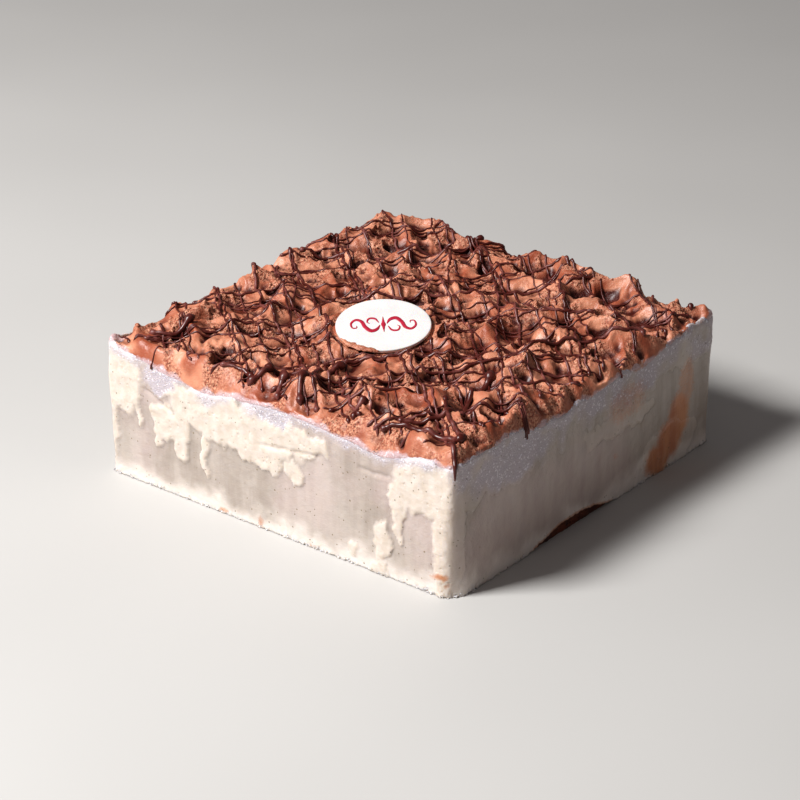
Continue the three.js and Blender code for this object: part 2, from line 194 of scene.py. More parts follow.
def in_blob(x, y, blob):
    """Place of points in a blob's own frame, in radii along and across it."""
    cx, cy, radius, angle, stretch = blob[:5]
    dx, dy = x - cx, y - cy
    along = (dx * math.cos(angle) + dy * math.sin(angle)) / (radius * stretch)
    return along, (dy * math.cos(angle) - dx * math.sin(angle)) / radius


def dome(u, v, power):
    return np.clip(1 - u * u - v * v, 0, 1) ** power


def lift(height, level, x, y, blobs, foot, low, high, favour, hook, power):
    for blob in blobs:
        u, v = in_blob(x, y, blob)
        steep = np.where(u > 0, u * (1 + hook * blob[5]), u * 0.9)
        tall = low + (high - low) * blob[6] ** favour
        height = np.maximum(height, level + foot + tall * dome(steep, v, power))
    return height


def bite(height, level, x, y, blobs, floor, spread, curve, slant):
    for blob in blobs:
        u, v = in_blob(x, y, blob)
        bend, lean = [low + (high - low) * blob[6] for low, high in (curve, slant)]
        bowl = level + floor + spread * blob[5] + bend * (u * u + v * v) - lean * u
        height = np.minimum(height, bowl)
    return height


mounds, crags, scoops, pits = [make_blobs(**kind) for kind in (MOUNDS, CRAGS, SCOOPS, PITS)]


def heap_height(x0, y0):
    edge = HALF - np.maximum(abs(x0), abs(y0))
    x = x0 + 2.4 * np.sin(y0 / 6.3 + 0.7) + 1.2 * np.sin((x0 + y0) / 3.4 + 2)
    y = y0 + 2.4 * np.sin(x0 / 6.9 + 1.9) + 1.2 * np.sin((x0 - y0) / 3.7 + 0.5)
    swell = 0
    for cx, cy, radius, rise in SWELLS:
        swell = np.maximum(swell, rise * dome((x - cx) / radius, (y - cy) / radius, 0.7))
    level = LEVEL["edge"] + LEVEL["rise"] * smoothstep(edge / LEVEL["width"]) + swell
    height = lift(level, level, x, y, mounds, **MOUND_FORM)
    height = lift(height, level, x, y, crags, **CRAG_FORM)
    height = bite(height, level, x, y, scoops, **SCOOP_FORM)
    return bite(height, level, x, y, pits, **PIT_FORM)


print("blobs:", [len(kind) for kind in (mounds, crags, scoops, pits)])

# %% [markdown]
# The walls wear a rim that wanders up and down, and the heap starts from a lip just above it.
# The plaque lies on the heap, tipped towards the viewer, and nothing may rise through it: a
# ceiling just under the plaque presses the ice cream down there, as the real one does.

# %% Rim, lip and the plaque's ceiling
plaque_low, plaque_high = [np.array(corner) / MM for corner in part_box("oval_plaque")]
PLAQUE_THICKNESS = 1.8
PLAQUE_FACING, PLAQUE_TURN, PLAQUE_TILT = [math.radians(angle) for angle in (38.5, 3.7, 18)]
PLAQUE_HALF = np.array([21.5, 17.5])
PLAQUE_MARGIN = 1.5
PLAQUE_CLEARING = dict(reach=14, front=0.7, back=2.4, curve=6.5)


def turned(vector, axis, angle):
    """A vector turned about a unit axis at right angles to it."""
    return vector * math.cos(angle) + np.cross(axis, vector) * math.sin(angle)


def plaque_axes():
    """The plaque's long axis, the axis up its slope, and the way it faces."""
    facing = np.array([math.cos(PLAQUE_FACING), math.sin(PLAQUE_FACING), 0])
    uphill = np.array([-facing[1], facing[0], 0]) * math.cos(PLAQUE_TILT)
    uphill[2] = math.sin(PLAQUE_TILT)
    normal = np.cross(facing, uphill)
    return turned(facing, normal, PLAQUE_TURN), turned(uphill, normal, PLAQUE_TURN), normal


LONG, SLOPE, NORMAL = plaque_axes()
PLAQUE_CENTRE = (plaque_low + plaque_high) / 2 - NORMAL * PLAQUE_THICKNESS / 2


def rim_height(wall, along):
    heights = np.array(RIM_HEIGHTS[wall], float)
    place = np.clip((along + HALF) / SIDE, 0, 1) * (len(heights) - 1)
    index = np.minimum(np.floor(place).astype(int), len(heights) - 2)
    share = smoothstep(place - index)
    return heights[index] * (1 - share) + heights[index + 1] * share


def wall_of(x, y):
    """Which wall a point on top is nearest to, and its place along that wall."""
    size = np.maximum(np.maximum(abs(x), abs(y)), 1) / HALF
    wall = np.argmax(np.stack([-y, x, y, -x]), axis=0)
    along = np.choose(wall, [x / size, y / size, -x / size, -y / size])
    return wall, along


def by_wall(wall, values):
    """Picks for each place the value that a function gives for its wall."""
    return np.choose(wall, [values(side) for side in range(4)])


def lip_height(x, y):
    wall, along = wall_of(x, y)
    rim = by_wall(wall, lambda side: rim_height(side, along))
    return rim + LIP_RISE + 0.5 * np.sin(along / 5)


def near_plaque(x, y):
    """Distance outside the plaque's edge, the height of its plane there, and 1 uphill to -1 downhill."""
    dx, dy = x - PLAQUE_CENTRE[0], y - PLAQUE_CENTRE[1]
    dz = -(NORMAL[0] * dx + NORMAL[1] * dy) / NORMAL[2]
    spot = np.stack([dx, dy, dz], -1)
    size = np.maximum(np.linalg.norm(spot, axis=-1), 0.01)
    reach = np.hypot(spot @ LONG / PLAQUE_HALF[0], spot @ SLOPE / PLAQUE_HALF[1])
    return size * (1 - 1 / np.maximum(reach, 0.01)), PLAQUE_CENTRE[2] + dz, spot @ SLOPE / size


def plaque_ceiling(x, y):
    """How high the heap may stand: just under the plaque, and rising round it so its edge shows."""
    outside, plane, uphill = near_plaque(x, y)
    front, back = PLAQUE_CLEARING["front"], PLAQUE_CLEARING["back"]
    away = np.maximum(outside - PLAQUE_MARGIN, 0)
    rise = away * (front + (back - front) * (1 + uphill) / 2) + (away / PLAQUE_CLEARING["curve"]) ** 3
    return np.where(outside > PLAQUE_CLEARING["reach"], 1000, plane - GAP - 0.2 + rise)


print("plaque centre", PLAQUE_CENTRE.round(1), "axes", LONG.round(2), SLOPE.round(2))

# %% [markdown]
# Frozen cream tears rather than flows, so smooth spatula cuts alternate with torn patches. The
# torn patches get crumbly nubs and pores. Crests are also pushed sideways, which turns a plain
# field of heights into lips that hang over a little, as scooped ice cream has. A grid fine enough
# for the nubs is made in one go with arrays, which is quicker than any modifier.

# %% Fine height of the heap
HEAP_CELLS = 296
NUBS = dict(seed=611, pitch=3.6, small=1.0, large=2.4)
NUB_HEIGHT = 1.3
CURLS = dict(seed=733, pitch=11, small=2.6, large=5.6)
CURL_HEIGHT = 3.0
PORES = dict(seed=877, pitch=2.7, small=0.7, large=1.6)
PORE_DEPTH = 0.9
SOFTNESS = 0.8
COMB_PITCH = 2.9
COMB_DEPTH = 0.3
TEAR = 0.8

heap_axis = np.linspace(TOP_INSET - HALF, HALF - TOP_INSET, HEAP_CELLS + 1)
heap_x, heap_y = np.meshgrid(heap_axis, heap_axis, indexing="ij")
cell = heap_axis[1] - heap_axis[0]


def rough(size, seed, layers=1):
    """Noise over the heap's grid, with lumps of a given size in mm."""
    return layered(heap_x, heap_y, size, seed, layers)


def blur(field, size, pad=40):
    """A grid of heights smoothed by a bell curve of that size in mm."""
    wide = np.pad(field, pad, mode="edge")
    waves = np.fft.fftfreq(wide.shape[0], cell)
    fall = np.exp(-2 * (math.pi * size) ** 2 * (waves[:, None] ** 2 + waves[None, :] ** 2))
    return np.fft.ifft2(np.fft.fft2(wide) * fall).real[pad:-pad, pad:-pad]


def add_nubs(field, mask, kind, tall, power=0.6, hook=0):
    """Raises small domes over the masked parts of a grid, or digs them where tall is negative."""
    keep = np.maximum if tall > 0 else np.minimum
    result = field.copy()
    for blob in make_blobs(**kind):
        x, y, radius, _, stretch, _, rise = blob
        reach = int(radius * stretch / cell) + 2
        i, j = int((x + HALF) / cell), int((y + HALF) / cell)
        window = slice(max(i - reach, 0), i + reach), slice(max(j - reach, 0), j + reach)
        u, v = in_blob(heap_x[window], heap_y[window], blob)
        if u.size:
            steep = np.where(u > 0, u * (1 + hook), u)
            swell = tall * rise * dome(steep, v, power) * mask[window]
            result[window] = keep(result[window], field[window] + swell)
    return result


ragged_x = heap_x + TEAR * rough(4.5, 11, 3)
ragged_y = heap_y + TEAR * rough(4.5, 15, 3)
plain = np.maximum(heap_height(ragged_x, ragged_y), POCKET_FLOOR + 5)
torn = smoothstep(0.42 + 1.1 * rough(15, 21) + 0.9 * rough(6, 22))
scooped = plain * torn + blur(plain, SOFTNESS) * (1 - torn)
curled = blur(add_nubs(scooped, 1 - torn, CURLS, CURL_HEIGHT, 0.75, 1.1), SOFTNESS / 2)
across = 0.76 * heap_x + 0.64 * heap_y + 6 * rough(30, 81)
combed = (1 - torn) * smoothstep(0.2 + 1.6 * rough(19, 85))
curled = curled + COMB_DEPTH * combed * np.sin(across * 2 * math.pi / COMB_PITCH)
nubby = add_nubs(curled, torn, NUBS, NUB_HEIGHT) + torn * 0.5 * rough(2.6, 31, 2)
nubby = add_nubs(nubby, torn, PORES, -PORE_DEPTH) + 0.45 * rough(6, 41, 3)
print("torn share", round(float(torn.mean()), 2), "grid points", heap_x.size)

# %% Lip, shoulder and overhanging crests
CREST_LEAN = 2.4
CREST_PULL = 0.55
SHOULDER = 2.6
LIP_FOLDS = 0.7
SHOULDER_DROP = 1.9
SHOULDER_INSET = 0.5
HIGHEST = 78.6
# Crests that stand further than this above their surroundings are rounded over.
ROUND_OVER = 2.6
# The heap runs out thin at the far right corner: x, y, reach, drop.
LOW_CORNER = (96, 96, 17, 7)
# Corners where the pale wall laps over the heap: x, y, reach.
BARE_CORNERS = [(-100, -100, 11), (100, 100, 9)]

edge = HALF - np.maximum(abs(heap_x), abs(heap_y))
lip_width = LIP_WIDTH * (0.7 + 0.4 * rough(16, 55))
inland = smoothstep((edge - TOP_INSET) / lip_width)
folds = smoothstep((edge - 1.2) / 3) * LIP_FOLDS * (nubby - blur(nubby, 4))
lip = lip_height(heap_x, heap_y) + 0.9 * rough(7, 51, 4) + folds
outer = np.clip(1 - (edge - TOP_INSET) / SHOULDER, 0, 1)
heap_z = lip * (1 - inland) + nubby * inland - SHOULDER_DROP * (1 - np.sqrt(1 - outer**2))
around_it = blur(heap_z, 2.5)
above = np.maximum(heap_z - around_it, 0)
heap_z = np.where(above > 0, around_it + ROUND_OVER * np.tanh(above / ROUND_OVER), heap_z)
corner_x, corner_y, reach, drop = LOW_CORNER
low_corner = smoothstep(1 - np.hypot(heap_x - corner_x, heap_y - corner_y) / reach)
heap_z = np.maximum(heap_z - drop * low_corner, np.minimum(heap_z, lip))

crest = np.clip((heap_z - blur(heap_z, 6)) / 6, 0, 1) ** 1.3
lean = 2.2 + 2.5 * rough(38, 61)
slope_x, slope_y = np.gradient(blur(heap_z, 0.8), cell)
loose = smoothstep((edge - 2) / 6)
shift_x = loose * (CREST_LEAN * crest * np.cos(lean) + CREST_PULL * np.clip(slope_x, -2, 2))
shift_y = loose * (CREST_LEAN * crest * np.sin(lean) + CREST_PULL * np.clip(slope_y, -2, 2))
tuck = 1 - outer * SHOULDER_INSET / np.maximum(HALF - edge, 1)
top_x, top_y = heap_x * tuck + shift_x, heap_y * tuck + shift_y
top_z = np.minimum(np.minimum(heap_z, plaque_ceiling(top_x, top_y)), HIGHEST)

# Height above the surroundings, negative in the hollows and faded out near the rim. The chocolate finish uses
# it to paint shade into the hollows.
hollow_shade = (heap_z - blur(heap_z, 2)) / 2.4 + (heap_z - blur(heap_z, 7)) / 9
hollow_shade = np.clip(hollow_shade, -1, 1) * smoothstep((edge - 1.5) / 4)
patchy = 0.6 * rough(14, 71) + 0.25 * rough(4.5, 73)
rim_frost = 0.75 - (edge - TOP_INSET) / 2 + patchy
for corner_x, corner_y, reach in BARE_CORNERS:
    away = np.hypot(heap_x - corner_x, heap_y - corner_y)
    rim_frost = np.maximum(rim_frost, 1.6 - 1.6 * away / reach + patchy)
off_plate = smoothstep((near_plaque(top_x, top_y)[0] - 2) / 2)
HEAP_MASKS = {
    "torn": torn, "hollow_shade": hollow_shade, "frosted": smoothstep(rim_frost),
    "crumbly": torn**2 * off_plate * smoothstep((edge - 3) / 3),
}
print("heap heights", round(float(top_z.min()), 1), "to", round(float(top_z.max()), 1), "mm")

# %% Meshes in metres
def make_mesh(name, points, faces):
    """A smooth mesh object from points in mm. It stands at the origin: its place is in the mesh."""
    mesh = bpy.data.meshes.new(name)
    mesh.from_pydata((np.asarray(points) * MM).tolist(), [], faces)
    mesh.shade_smooth()
    return add_object(name, mesh)


def add_object(name, data):
    added = bpy.data.objects.new(name, data)
    bpy.context.collection.objects.link(added)
    return added


def add_mask(piece, name, values):
    """A number at each point, which a material can read by its name."""
    mask = piece.data.attributes.new(name, "FLOAT", "POINT")
    mask.data.foreach_set("value", np.asarray(values, dtype=np.float32).ravel())


def grid_faces(index):
    """Quads between neighbouring entries of a table of point numbers."""
    corners = [index[:-1, :-1], index[:-1, 1:], index[1:, 1:], index[1:, :-1]]
    return np.stack(corners, -1).reshape(-1, 4)


def ring_faces(rings, first_middle, last_middle):
    """Faces between rings of point numbers, with a fan over the first and the last ring."""
    closed = np.concatenate([rings, rings[:, :1]], axis=1)
    faces = grid_faces(closed).tolist()
    for ring, middle, order in ((closed[0], first_middle, [1, 0]), (closed[-1], last_middle, [0, 1])):
        if middle is not None:
            pairs = np.stack([ring[:-1], ring[1:]], -1)[:, order]
            faces += np.column_stack([pairs, np.full(len(pairs), middle)]).tolist()
    return faces


def make_rings(name, rings, middles):
    """A closed piece from equal rings of points and the middle points of its two ends."""
    rings = np.array(rings)
    count = rings.shape[0] * rings.shape[1]
    faces = ring_faces(np.arange(count).reshape(rings.shape[:2]), count, count + 1)
    return make_mesh(name, np.concatenate([rings.reshape(-1, 3), middles]), faces)


def round_corner(x, y, radius):
    """Rounds the corners of every square ring about the middle by the same share of its size."""
    ring = np.maximum(abs(x), abs(y))
    bend = radius * ring / HALF
    over_x, over_y = abs(x) - (ring - bend), abs(y) - (ring - bend)
    reach = np.maximum(np.hypot(over_x, over_y), 1e-9)
    cut = (over_x > 0) & (over_y > 0) & (reach > bend)
    return [
        np.where(cut, np.sign(flat) * (ring - bend + over * bend / reach), flat)
        for flat, over in ((x, over_x), (y, over_y))
    ]


EDGE_ROUNDING = 4.2
WORN_CORNER = dict(depth=7, reach=30)


def corner_rounding(x, y, z):
    near = smoothstep(1 - np.hypot(x - HALF, y + HALF) / WORN_CORNER["reach"])
    return EDGE_ROUNDING + WORN_CORNER["depth"] * near * np.clip(1 - z / POCKET_FLOOR, 0, 1)


print("corner rounding at the foot of the front corner", corner_rounding(HALF, -HALF, 0), "mm")

# %% The heap as one closed piece
def border(table):
    """The rim of a square table, counter-clockwise from the front left corner."""
    return np.concatenate([table[:-1, 0], table[-1, :-1], table[:0:-1, -1], table[0, :0:-1]])


def make_heap():
    x, y = round_corner(top_x, top_y, corner_rounding(top_x, top_y, top_z))
    top = np.stack([x, y, top_z], -1).reshape(-1, 3)
    index = np.arange(len(top)).reshape(heap_x.shape)
    loop = border(index)
    wall, along = wall_of(top[loop, 0], top[loop, 1])
    rim = by_wall(wall, lambda side: rim_height(side, along))
    floor = np.full(len(loop), POCKET_FLOOR + GAP)
    rings, points = [loop], [top]
    # The hidden side steps in below the lip and drops to the floor of the pocket.
    for inset, height in [(1.2, rim - 0.6), (1.6, rim - 1.8), (4, rim - 1.8), (4, floor)]:
        shrink = (HALF - inset) / (HALF - TOP_INSET - SHOULDER_INSET)
        points.append(np.column_stack([top[loop, :2] * shrink, height]))
        rings.append(len(top) + (len(rings) - 1) * len(loop) + np.arange(len(loop)))
    points = np.concatenate(points + [[[0, 0, floor[0]]]])
    faces = grid_faces(index)[:, ::-1].tolist()
    faces += ring_faces(np.array(rings[::-1]), len(points) - 1, None)
    piece = make_mesh("chocolate_heap", points, faces)
    for name, field in HEAP_MASKS.items():
        hidden = np.full(len(points) - len(top), 1 if name == "frosted" else 0)
        add_mask(piece, name, np.concatenate([field.ravel(), hidden]))
    return piece


heap = make_heap()
print("heap faces", len(heap.data.polygons))

# %% [markdown]
# The drizzle is chocolate thrown from a spoon in two directions. It falls as thin cords that lie
# on the crests, sag into the hollows and end in small beads. Each cord starts as a line of points
# that is dropped on the heap by ray casting and then bridged from crest to crest. One Geometry
# Nodes tree turns all the lines of a family into tubes with the thickness stored at their points.

# %% Routes of the drizzle
CORD_STEP = 0.8
THICK_CORDS = dict(wander=5, spread=9, thin=0.4, thick=0.95)
THIN_CORDS = dict(wander=7, spread=9, thin=0.32, thick=0.6)
FAMILIES = {
    "drizzle_along": [
        dict(seed=41, heading=50, count=25, **THICK_CORDS),
        dict(seed=143, heading=45, count=14, **THIN_CORDS),
    ],
    "drizzle_across": [
        dict(seed=77, heading=-38, count=25, **THICK_CORDS),
        dict(seed=219, heading=-44, count=16, **THIN_CORDS),
    ],
}
PAIRED = 0.45
PAIR_GAP = 2.4
FEWEST_POINTS = 9
# Single strokes near the rim: start, end, bow to one side, radius.
STROKES = [
    ((56, -94), (94, -87), 3, 1.4), ((60, -88), (76, -66), -4, 1.1), ((8, -84), (6, -58), 2, 1.2),
    ((80, -70), (66, -30), 3, 1.3), ((66, -63), (93, -86), -2, 1.1), ((-84, -86), (-72, -70), -4, 1.2),
    ((-34, -94), (-17, -91), 2, 1.0), ((-17, -95), (-15, -82), -2, 1.25), ((0, -95), (-4, -84), 1, 1.3),
    ((13, -95), (6, -84), 1, 1.3), ((42, -95), (40, -84), 1, 1.2), ((94, -40), (80, -30), 2, 0.9),
]


def strand_lines(seed, heading, count, wander, spread, thin, thick):
    """Wavy lines over the top, each with its radius at every point."""
    rand = draws(seed)
    dx, dy = math.cos(math.radians(heading)), math.sin(math.radians(heading))
    reach = HALF * 1.3
    t = np.arange(-reach, reach, CORD_STEP)
    lines, shift = [], 0
    for number in range(count):
        apart, close = spread * (next(rand) - 0.5), next(rand) < PAIRED
        even = -reach + 2 * reach * (number + 0.5) / count
        shift = shift + PAIR_GAP if close and number % 2 else even + apart
        waves = [wander * next(rand), 20 + 25 * next(rand), 6.3 * next(rand)]
        ripples = [0.7 * next(rand), 5 + 5 * next(rand), 6.3 * next(rand)]
        weight = next(rand)
        side = shift + waves[0] * np.sin(t / waves[1] + waves[2])
        side = side + ripples[0] * np.sin(t / ripples[1] + ripples[2])
        side = side + 0.9 * layered(t, 0 * t + number * 7.7, 7, seed, 3)
        x, y = dx * t - dy * side, dy * t + dx * side
        uneven = 1 + 0.3 * noise(t, 0 * t + number * 9.1, 6, seed + 1)
        radius = (thin + (thick - thin) * weight**2) * uneven
        inset = np.maximum(4 + 3.5 * weight**2 + 3 * noise(x, y, 11, seed + 2), 2.2)
        inside = np.maximum(abs(x), abs(y)) < HALF - inset
        lines += broken(np.column_stack([x, y, radius]), inside)
    return lines


def broken(points, keep):
    """The stretches of a line where keep holds, at least a few points long."""
    edges = np.flatnonzero(np.diff(np.concatenate([[False], keep, [False]]).astype(int)))
    return [points[a:b] for a, b in zip(edges[::2], edges[1::2]) if b - a >= FEWEST_POINTS]


def stroke_line(start, end, bow, radius):
    start, end = np.array(start, float), np.array(end, float)
    length = np.hypot(*(end - start))
    share = np.linspace(0, 1, int(length / CORD_STEP))[:, None]
    across = np.array([start[1] - end[1], end[0] - start[0]]) / length
    places = start + (end - start) * share + across * bow * np.sin(math.pi * share)
    return np.column_stack([places, radius * (0.75 + 0.4 * share)])


routes = {name: sum([strand_lines(**kind) for kind in kinds], []) for name, kinds in FAMILIES.items()}
routes["drizzle_strokes"] = [stroke_line(*stroke) for stroke in STROKES]
print({name: len(lines) for name, lines in routes.items()})

# %% Laying the cords on the heap
CORD_SAG = 0.11
CORD_SINK = 0.45
HIGHEST_CORD = 79.8
PLAQUE_SPACE = 1.2
BRIDGE_SWEEPS = 80

heap_tree = BVHTree.FromPolygons(
    [vertex.co / MM for vertex in heap.data.vertices], [tuple(f.vertices) for f in heap.data.polygons]
)


def surface_under(places):
    """Heights of the heap under places on top of it."""
    hits = [heap_tree.ray_cast(Vector((*place, 100)), Vector((0, 0, -1)))[0] for place in places]
    return np.array([hit.z if hit else 0 for hit in hits])


def lay_on_heap(line):
    """Heights of a cord's middle: on the crests, and bridged between them."""
    radius = line[:, 2]
    rest = surface_under(line[:, :2]) + CORD_SINK * radius
    height = rest.copy()
    for sweep in range(BRIDGE_SWEEPS):
        bridge = (height[:-2] + height[2:]) / 2 - CORD_SAG * CORD_STEP**2
        height[1:-1] = np.maximum(rest[1:-1], bridge)
    return np.minimum(height, HIGHEST_CORD - radius)


def off_plaque(line):
    return broken(line, near_plaque(line[:, 0], line[:, 1])[0] > PLAQUE_SPACE + line[:, 2])


print("height under the middle", surface_under([(0, 0)]).round(1), "mm")

# %% Drips, beads and paths
# Cords that run over the brink: wall, place along it, length, radius.
DRIPS = [
    (RIGHT, -50, 4.6, 0.7), (RIGHT, -51.1, 3.3, 0.65), (RIGHT, -48.9, 2.5, 0.65),
    (FRONT, -71, 2.2, 0.5), (RIGHT, 21, 1.4, 0.55),
]
CORNER_DRIP = dict(length=7, radius=1.2)
BEAD_SWELL = 0.8
BEAD_PLACE = 1.4
BEAD_WIDTH = 1.1


def drip_line(wall, along, length, radius):
    """A cord end that runs over the brink and hangs down the wall, as places and radii."""
    out = HALF - np.concatenate([np.linspace(7, 1.3, 10), np.full(8, 0.1 + 1.15 * radius)])
    x, y = [(along + (HALF - out) / 3, -out), (out, along + (HALF - out) / 3)][wall]
    z = surface_under(zip(x[:10], y[:10])) + 0.3
    z = np.concatenate([z, z[-1] - 0.6 - length * np.linspace(0.1, 1, 8)])
    share = np.linspace(0, 1, len(z))
    return np.column_stack([x, y, z, radius * (0.6 + 0.5 * share**3) * np.where(share > 0.97, 0.55, 1)])


def corner_drip(length, radius):
    """A run of chocolate down the front corner, thick on top and thin below."""
    out = np.concatenate([np.linspace(92, 97.2, 8), [97.9], np.full(8, 98.3)])
    z = surface_under(zip(out[:8], -out[:8])) + 0.2
    z = np.concatenate([z, z[-1] - 0.3 - length * np.linspace(0, 1, 9)])
    return np.column_stack([out, -out, z, radius * (1 - 0.8 * np.linspace(0, 1, len(z)) ** 2)])


def with_beads(line):
    """Swells both ends of a cord to a bead."""
    steps = np.arange(len(line)) * CORD_STEP
    for from_end in (steps, steps[::-1]):
        bead = BEAD_SWELL * np.exp(-(((from_end - BEAD_PLACE) / BEAD_WIDTH) ** 2))
        line[:, 2] *= (1 + bead) * np.clip(from_end / 0.9 + 0.25, 0, 1)
    return line


def make_paths(name, lines, hanging):
    """An object of loose edges, one chain per cord, with a thickness at each point."""
    chains = [with_beads(line) for whole in lines for line in off_plaque(whole)]
    points = [np.column_stack([line[:, :2], lay_on_heap(line)]) for line in chains]
    points += [line[:, :3] for line in hanging]
    radii = [line[:, -1] for line in chains + hanging]
    starts = np.cumsum([0] + [len(line) for line in radii])
    links = [(i, i + 1) for a, b in zip(starts, starts[1:]) for i in range(a, b - 1)]
    mesh = bpy.data.meshes.new(name)
    mesh.from_pydata((np.concatenate(points) * MM).tolist(), links, [])
    paths = add_object(name, mesh)
    add_mask(paths, "thickness", np.concatenate(radii) * MM)
    return paths


hanging = {"drizzle_strokes": [drip_line(*drip) for drip in DRIPS] + [corner_drip(**CORNER_DRIP)]}
cord_paths = {
    name: make_paths(name + "_paths", lines, hanging.get(name, [])) for name, lines in routes.items()
}
print({name: len(paths.data.vertices) for name, paths in cord_paths.items()})

# %% Node helpers
SOCKETS = {float: "NodeSocketFloat", int: "NodeSocketInt", type(None): "NodeSocketGeometry"}


def add_node(tree, kind, inputs=None, **settings):
    """Adds a node, sets its options, and fills its inputs with values, links or other nodes."""
    made = tree.nodes.new(kind)
    for key, value in settings.items():
        setattr(made, key, value)
    for key, value in (inputs or {}).items():
        if isinstance(value, bpy.types.Node):
            value = value.outputs[0]
        if isinstance(value, bpy.types.NodeSocket):
            tree.links.new(value, made.inputs[key])
        else:
            made.inputs[key].default_value = value
    return made


def maths(tree, operation, *values):
    return add_node(tree, "ShaderNodeMath", dict(enumerate(values)), operation=operation).outputs[0]


def new_group(name, kind, inputs, outputs):
    """An empty node group with named sockets and their values, where None stands for a mesh."""
    group = bpy.data.node_groups.new(name, kind)
    for direction, sockets in (("INPUT", inputs), ("OUTPUT", outputs)):
        for socket, value in sockets.items():
            made = group.interface.new_socket(socket, in_out=direction, socket_type=SOCKETS[type(value)])
            if value is not None:
                made.default_value = value
    return group, group.nodes.new("NodeGroupInput").outputs, group.nodes.new("NodeGroupOutput").inputs


def end_shape(tree, shape, material, result):
    """Ends a tree with smooth faces, real copies and a material."""
    shape = add_node(tree, "GeometryNodeSetShadeSmooth", {"Geometry": shape})
    shape = add_node(tree, "GeometryNodeRealizeInstances", {"Geometry": shape})
    shape = add_node(tree, "GeometryNodeSetMaterial", {"Geometry": shape, "Material": material})
    tree.links.new(shape.outputs[0], result)
    return tree


def grown(source, tree, values, name):
    """Runs a node tree on an object, and returns the result as a plain piece."""
    modifier = source.modifiers.new("grow", "NODES")
    modifier.node_group = tree
    for item in tree.interface.items_tree:
        if item.in_out == "INPUT" and item.name in values:
            modifier[item.identifier] = values[item.name]
    graph = bpy.context.evaluated_depsgraph_get()
    mesh = bpy.data.meshes.new_from_object(source.evaluated_get(graph), depsgraph=graph)
    mesh.name = name
    source.modifiers.remove(modifier)
    return add_object(name, mesh)


print("node helpers ready")

# %% A tree that turns paths into cords
def make_cord_tree(material):
    tree, given, results = new_group(
        "cords_from_paths", "GeometryNodeTree", {"Paths": None, "Sides": 8, "Thickness": 1.0}, {"Cords": None}
    )
    curve = add_node(tree, "GeometryNodeMeshToCurve", {"Mesh": given["Paths"]})
    stored = add_node(tree, "GeometryNodeInputNamedAttribute", {"Name": "thickness"}, data_type="FLOAT")
    radius = maths(tree, "MULTIPLY", stored.outputs["Attribute"], given["Thickness"])
    circle = add_node(tree, "GeometryNodeCurvePrimitiveCircle", {"Resolution": given["Sides"], "Radius": 1.0})
    tubes = add_node(tree, "GeometryNodeCurveToMesh", {
        "Curve": curve, "Profile Curve": circle, "Scale": radius, "Fill Caps": True,
    })
    return end_shape(tree, tubes, material, results["Cords"])


drizzle_finish = bpy.data.materials.new("glossy_drizzle")
cord_tree = make_cord_tree(drizzle_finish)
cords = {}
for name, paths in cord_paths.items():
    cords[name] = grown(paths, cord_tree, {"Sides": 8, "Thickness": 1.0}, name)
    bpy.data.objects.remove(paths)
    highest = max(vertex.co.z for vertex in cords[name].data.vertices) / MM
    print(name, len(cords[name].data.polygons), "faces, top", round(highest, 1))

# %% [markdown]
# Tearing leaves crumbs behind. One tree scatters small uneven lumps over any surface that stores
# a mask of where it is crumbly. They are sunk to their middles, each turned and sized by its own
# random draw. The seed is fixed, and the mask keeps them off the plaque and the brink.

# %% Crumbs of ice cream
CRUMBS = {"Crumbs": 36000.0, "Smallest": 0.0004, "Largest": 0.0011, "Seed": 7}
DENT = 1.2
FULL_TURN = 6.3


def make_crumb_tree(material):
    tree, given, results = new_group(
        "crumbs_on_torn_cream", "GeometryNodeTree", {"Surface": None, **CRUMBS}, {"Result": None}
    )
    crumbly = add_node(tree, "GeometryNodeInputNamedAttribute", {"Name": "crumbly"}, data_type="FLOAT")
    spots = add_node(tree, "GeometryNodeDistributePointsOnFaces", {
        "Mesh": given["Surface"], "Seed": given["Seed"],
        "Density": maths(tree, "MULTIPLY", crumbly.outputs["Attribute"], given["Crumbs"]),
    })
    ball = add_node(tree, "GeometryNodeMeshIcoSphere", {"Radius": 1.0, "Subdivisions": 2})
    place = add_node(tree, "GeometryNodeInputPosition")
    dents = add_node(tree, "ShaderNodeTexNoise", {"Vector": place, "Scale": 1.4})
    offset = add_node(tree, "ShaderNodeVectorMath", {
        0: dents.outputs["Color"], 1: (DENT,) * 3, 2: (-DENT / 2,) * 3,
    }, operation="MULTIPLY_ADD")
    lump = add_node(tree, "GeometryNodeSetPosition", {"Geometry": ball, "Offset": offset})
    size = add_node(tree, "FunctionNodeRandomValue", {
        "Min": given["Smallest"], "Max": given["Largest"], "Seed": given["Seed"],
    }, data_type="FLOAT")
    turn = add_node(tree, "FunctionNodeRandomValue", {"Max": (FULL_TURN,) * 3}, data_type="FLOAT_VECTOR")
    lumps = add_node(tree, "GeometryNodeInstanceOnPoints", {
        "Points": spots, "Instance": lump, "Rotation": turn, "Scale": size.outputs[1],
    })
    return end_shape(tree, lumps, material, results["Result"])


heap_finish = bpy.data.materials.new("chocolate_ice_cream")
crumbs = grown(heap, make_crumb_tree(heap_finish), CRUMBS, "ice_cream_crumbs")
add_mask(crumbs, "torn", np.full(len(crumbs.data.vertices), 0.6))
print("crumb faces", len(crumbs.data.polygons))

# %% [markdown]
# The vanilla body was cut from a mould, so its walls are nearly flat, cloudy and icy where they
# melted against the mould, with raised, opaque smears where softer cream was wiped on. The smears
# hang down in ragged drips. A fine skin of wall follows the solids' smear rule with more ellipses
# for the small drips, and stores masks of cream, frost and caramel stains for the material.

# %% Smears, recess and stains
FACE_INSET = 1
SKIRT_INSET = 5
RECESS = dict(middle=-14, half_width=39, plateau=0.1, rise=5.6)
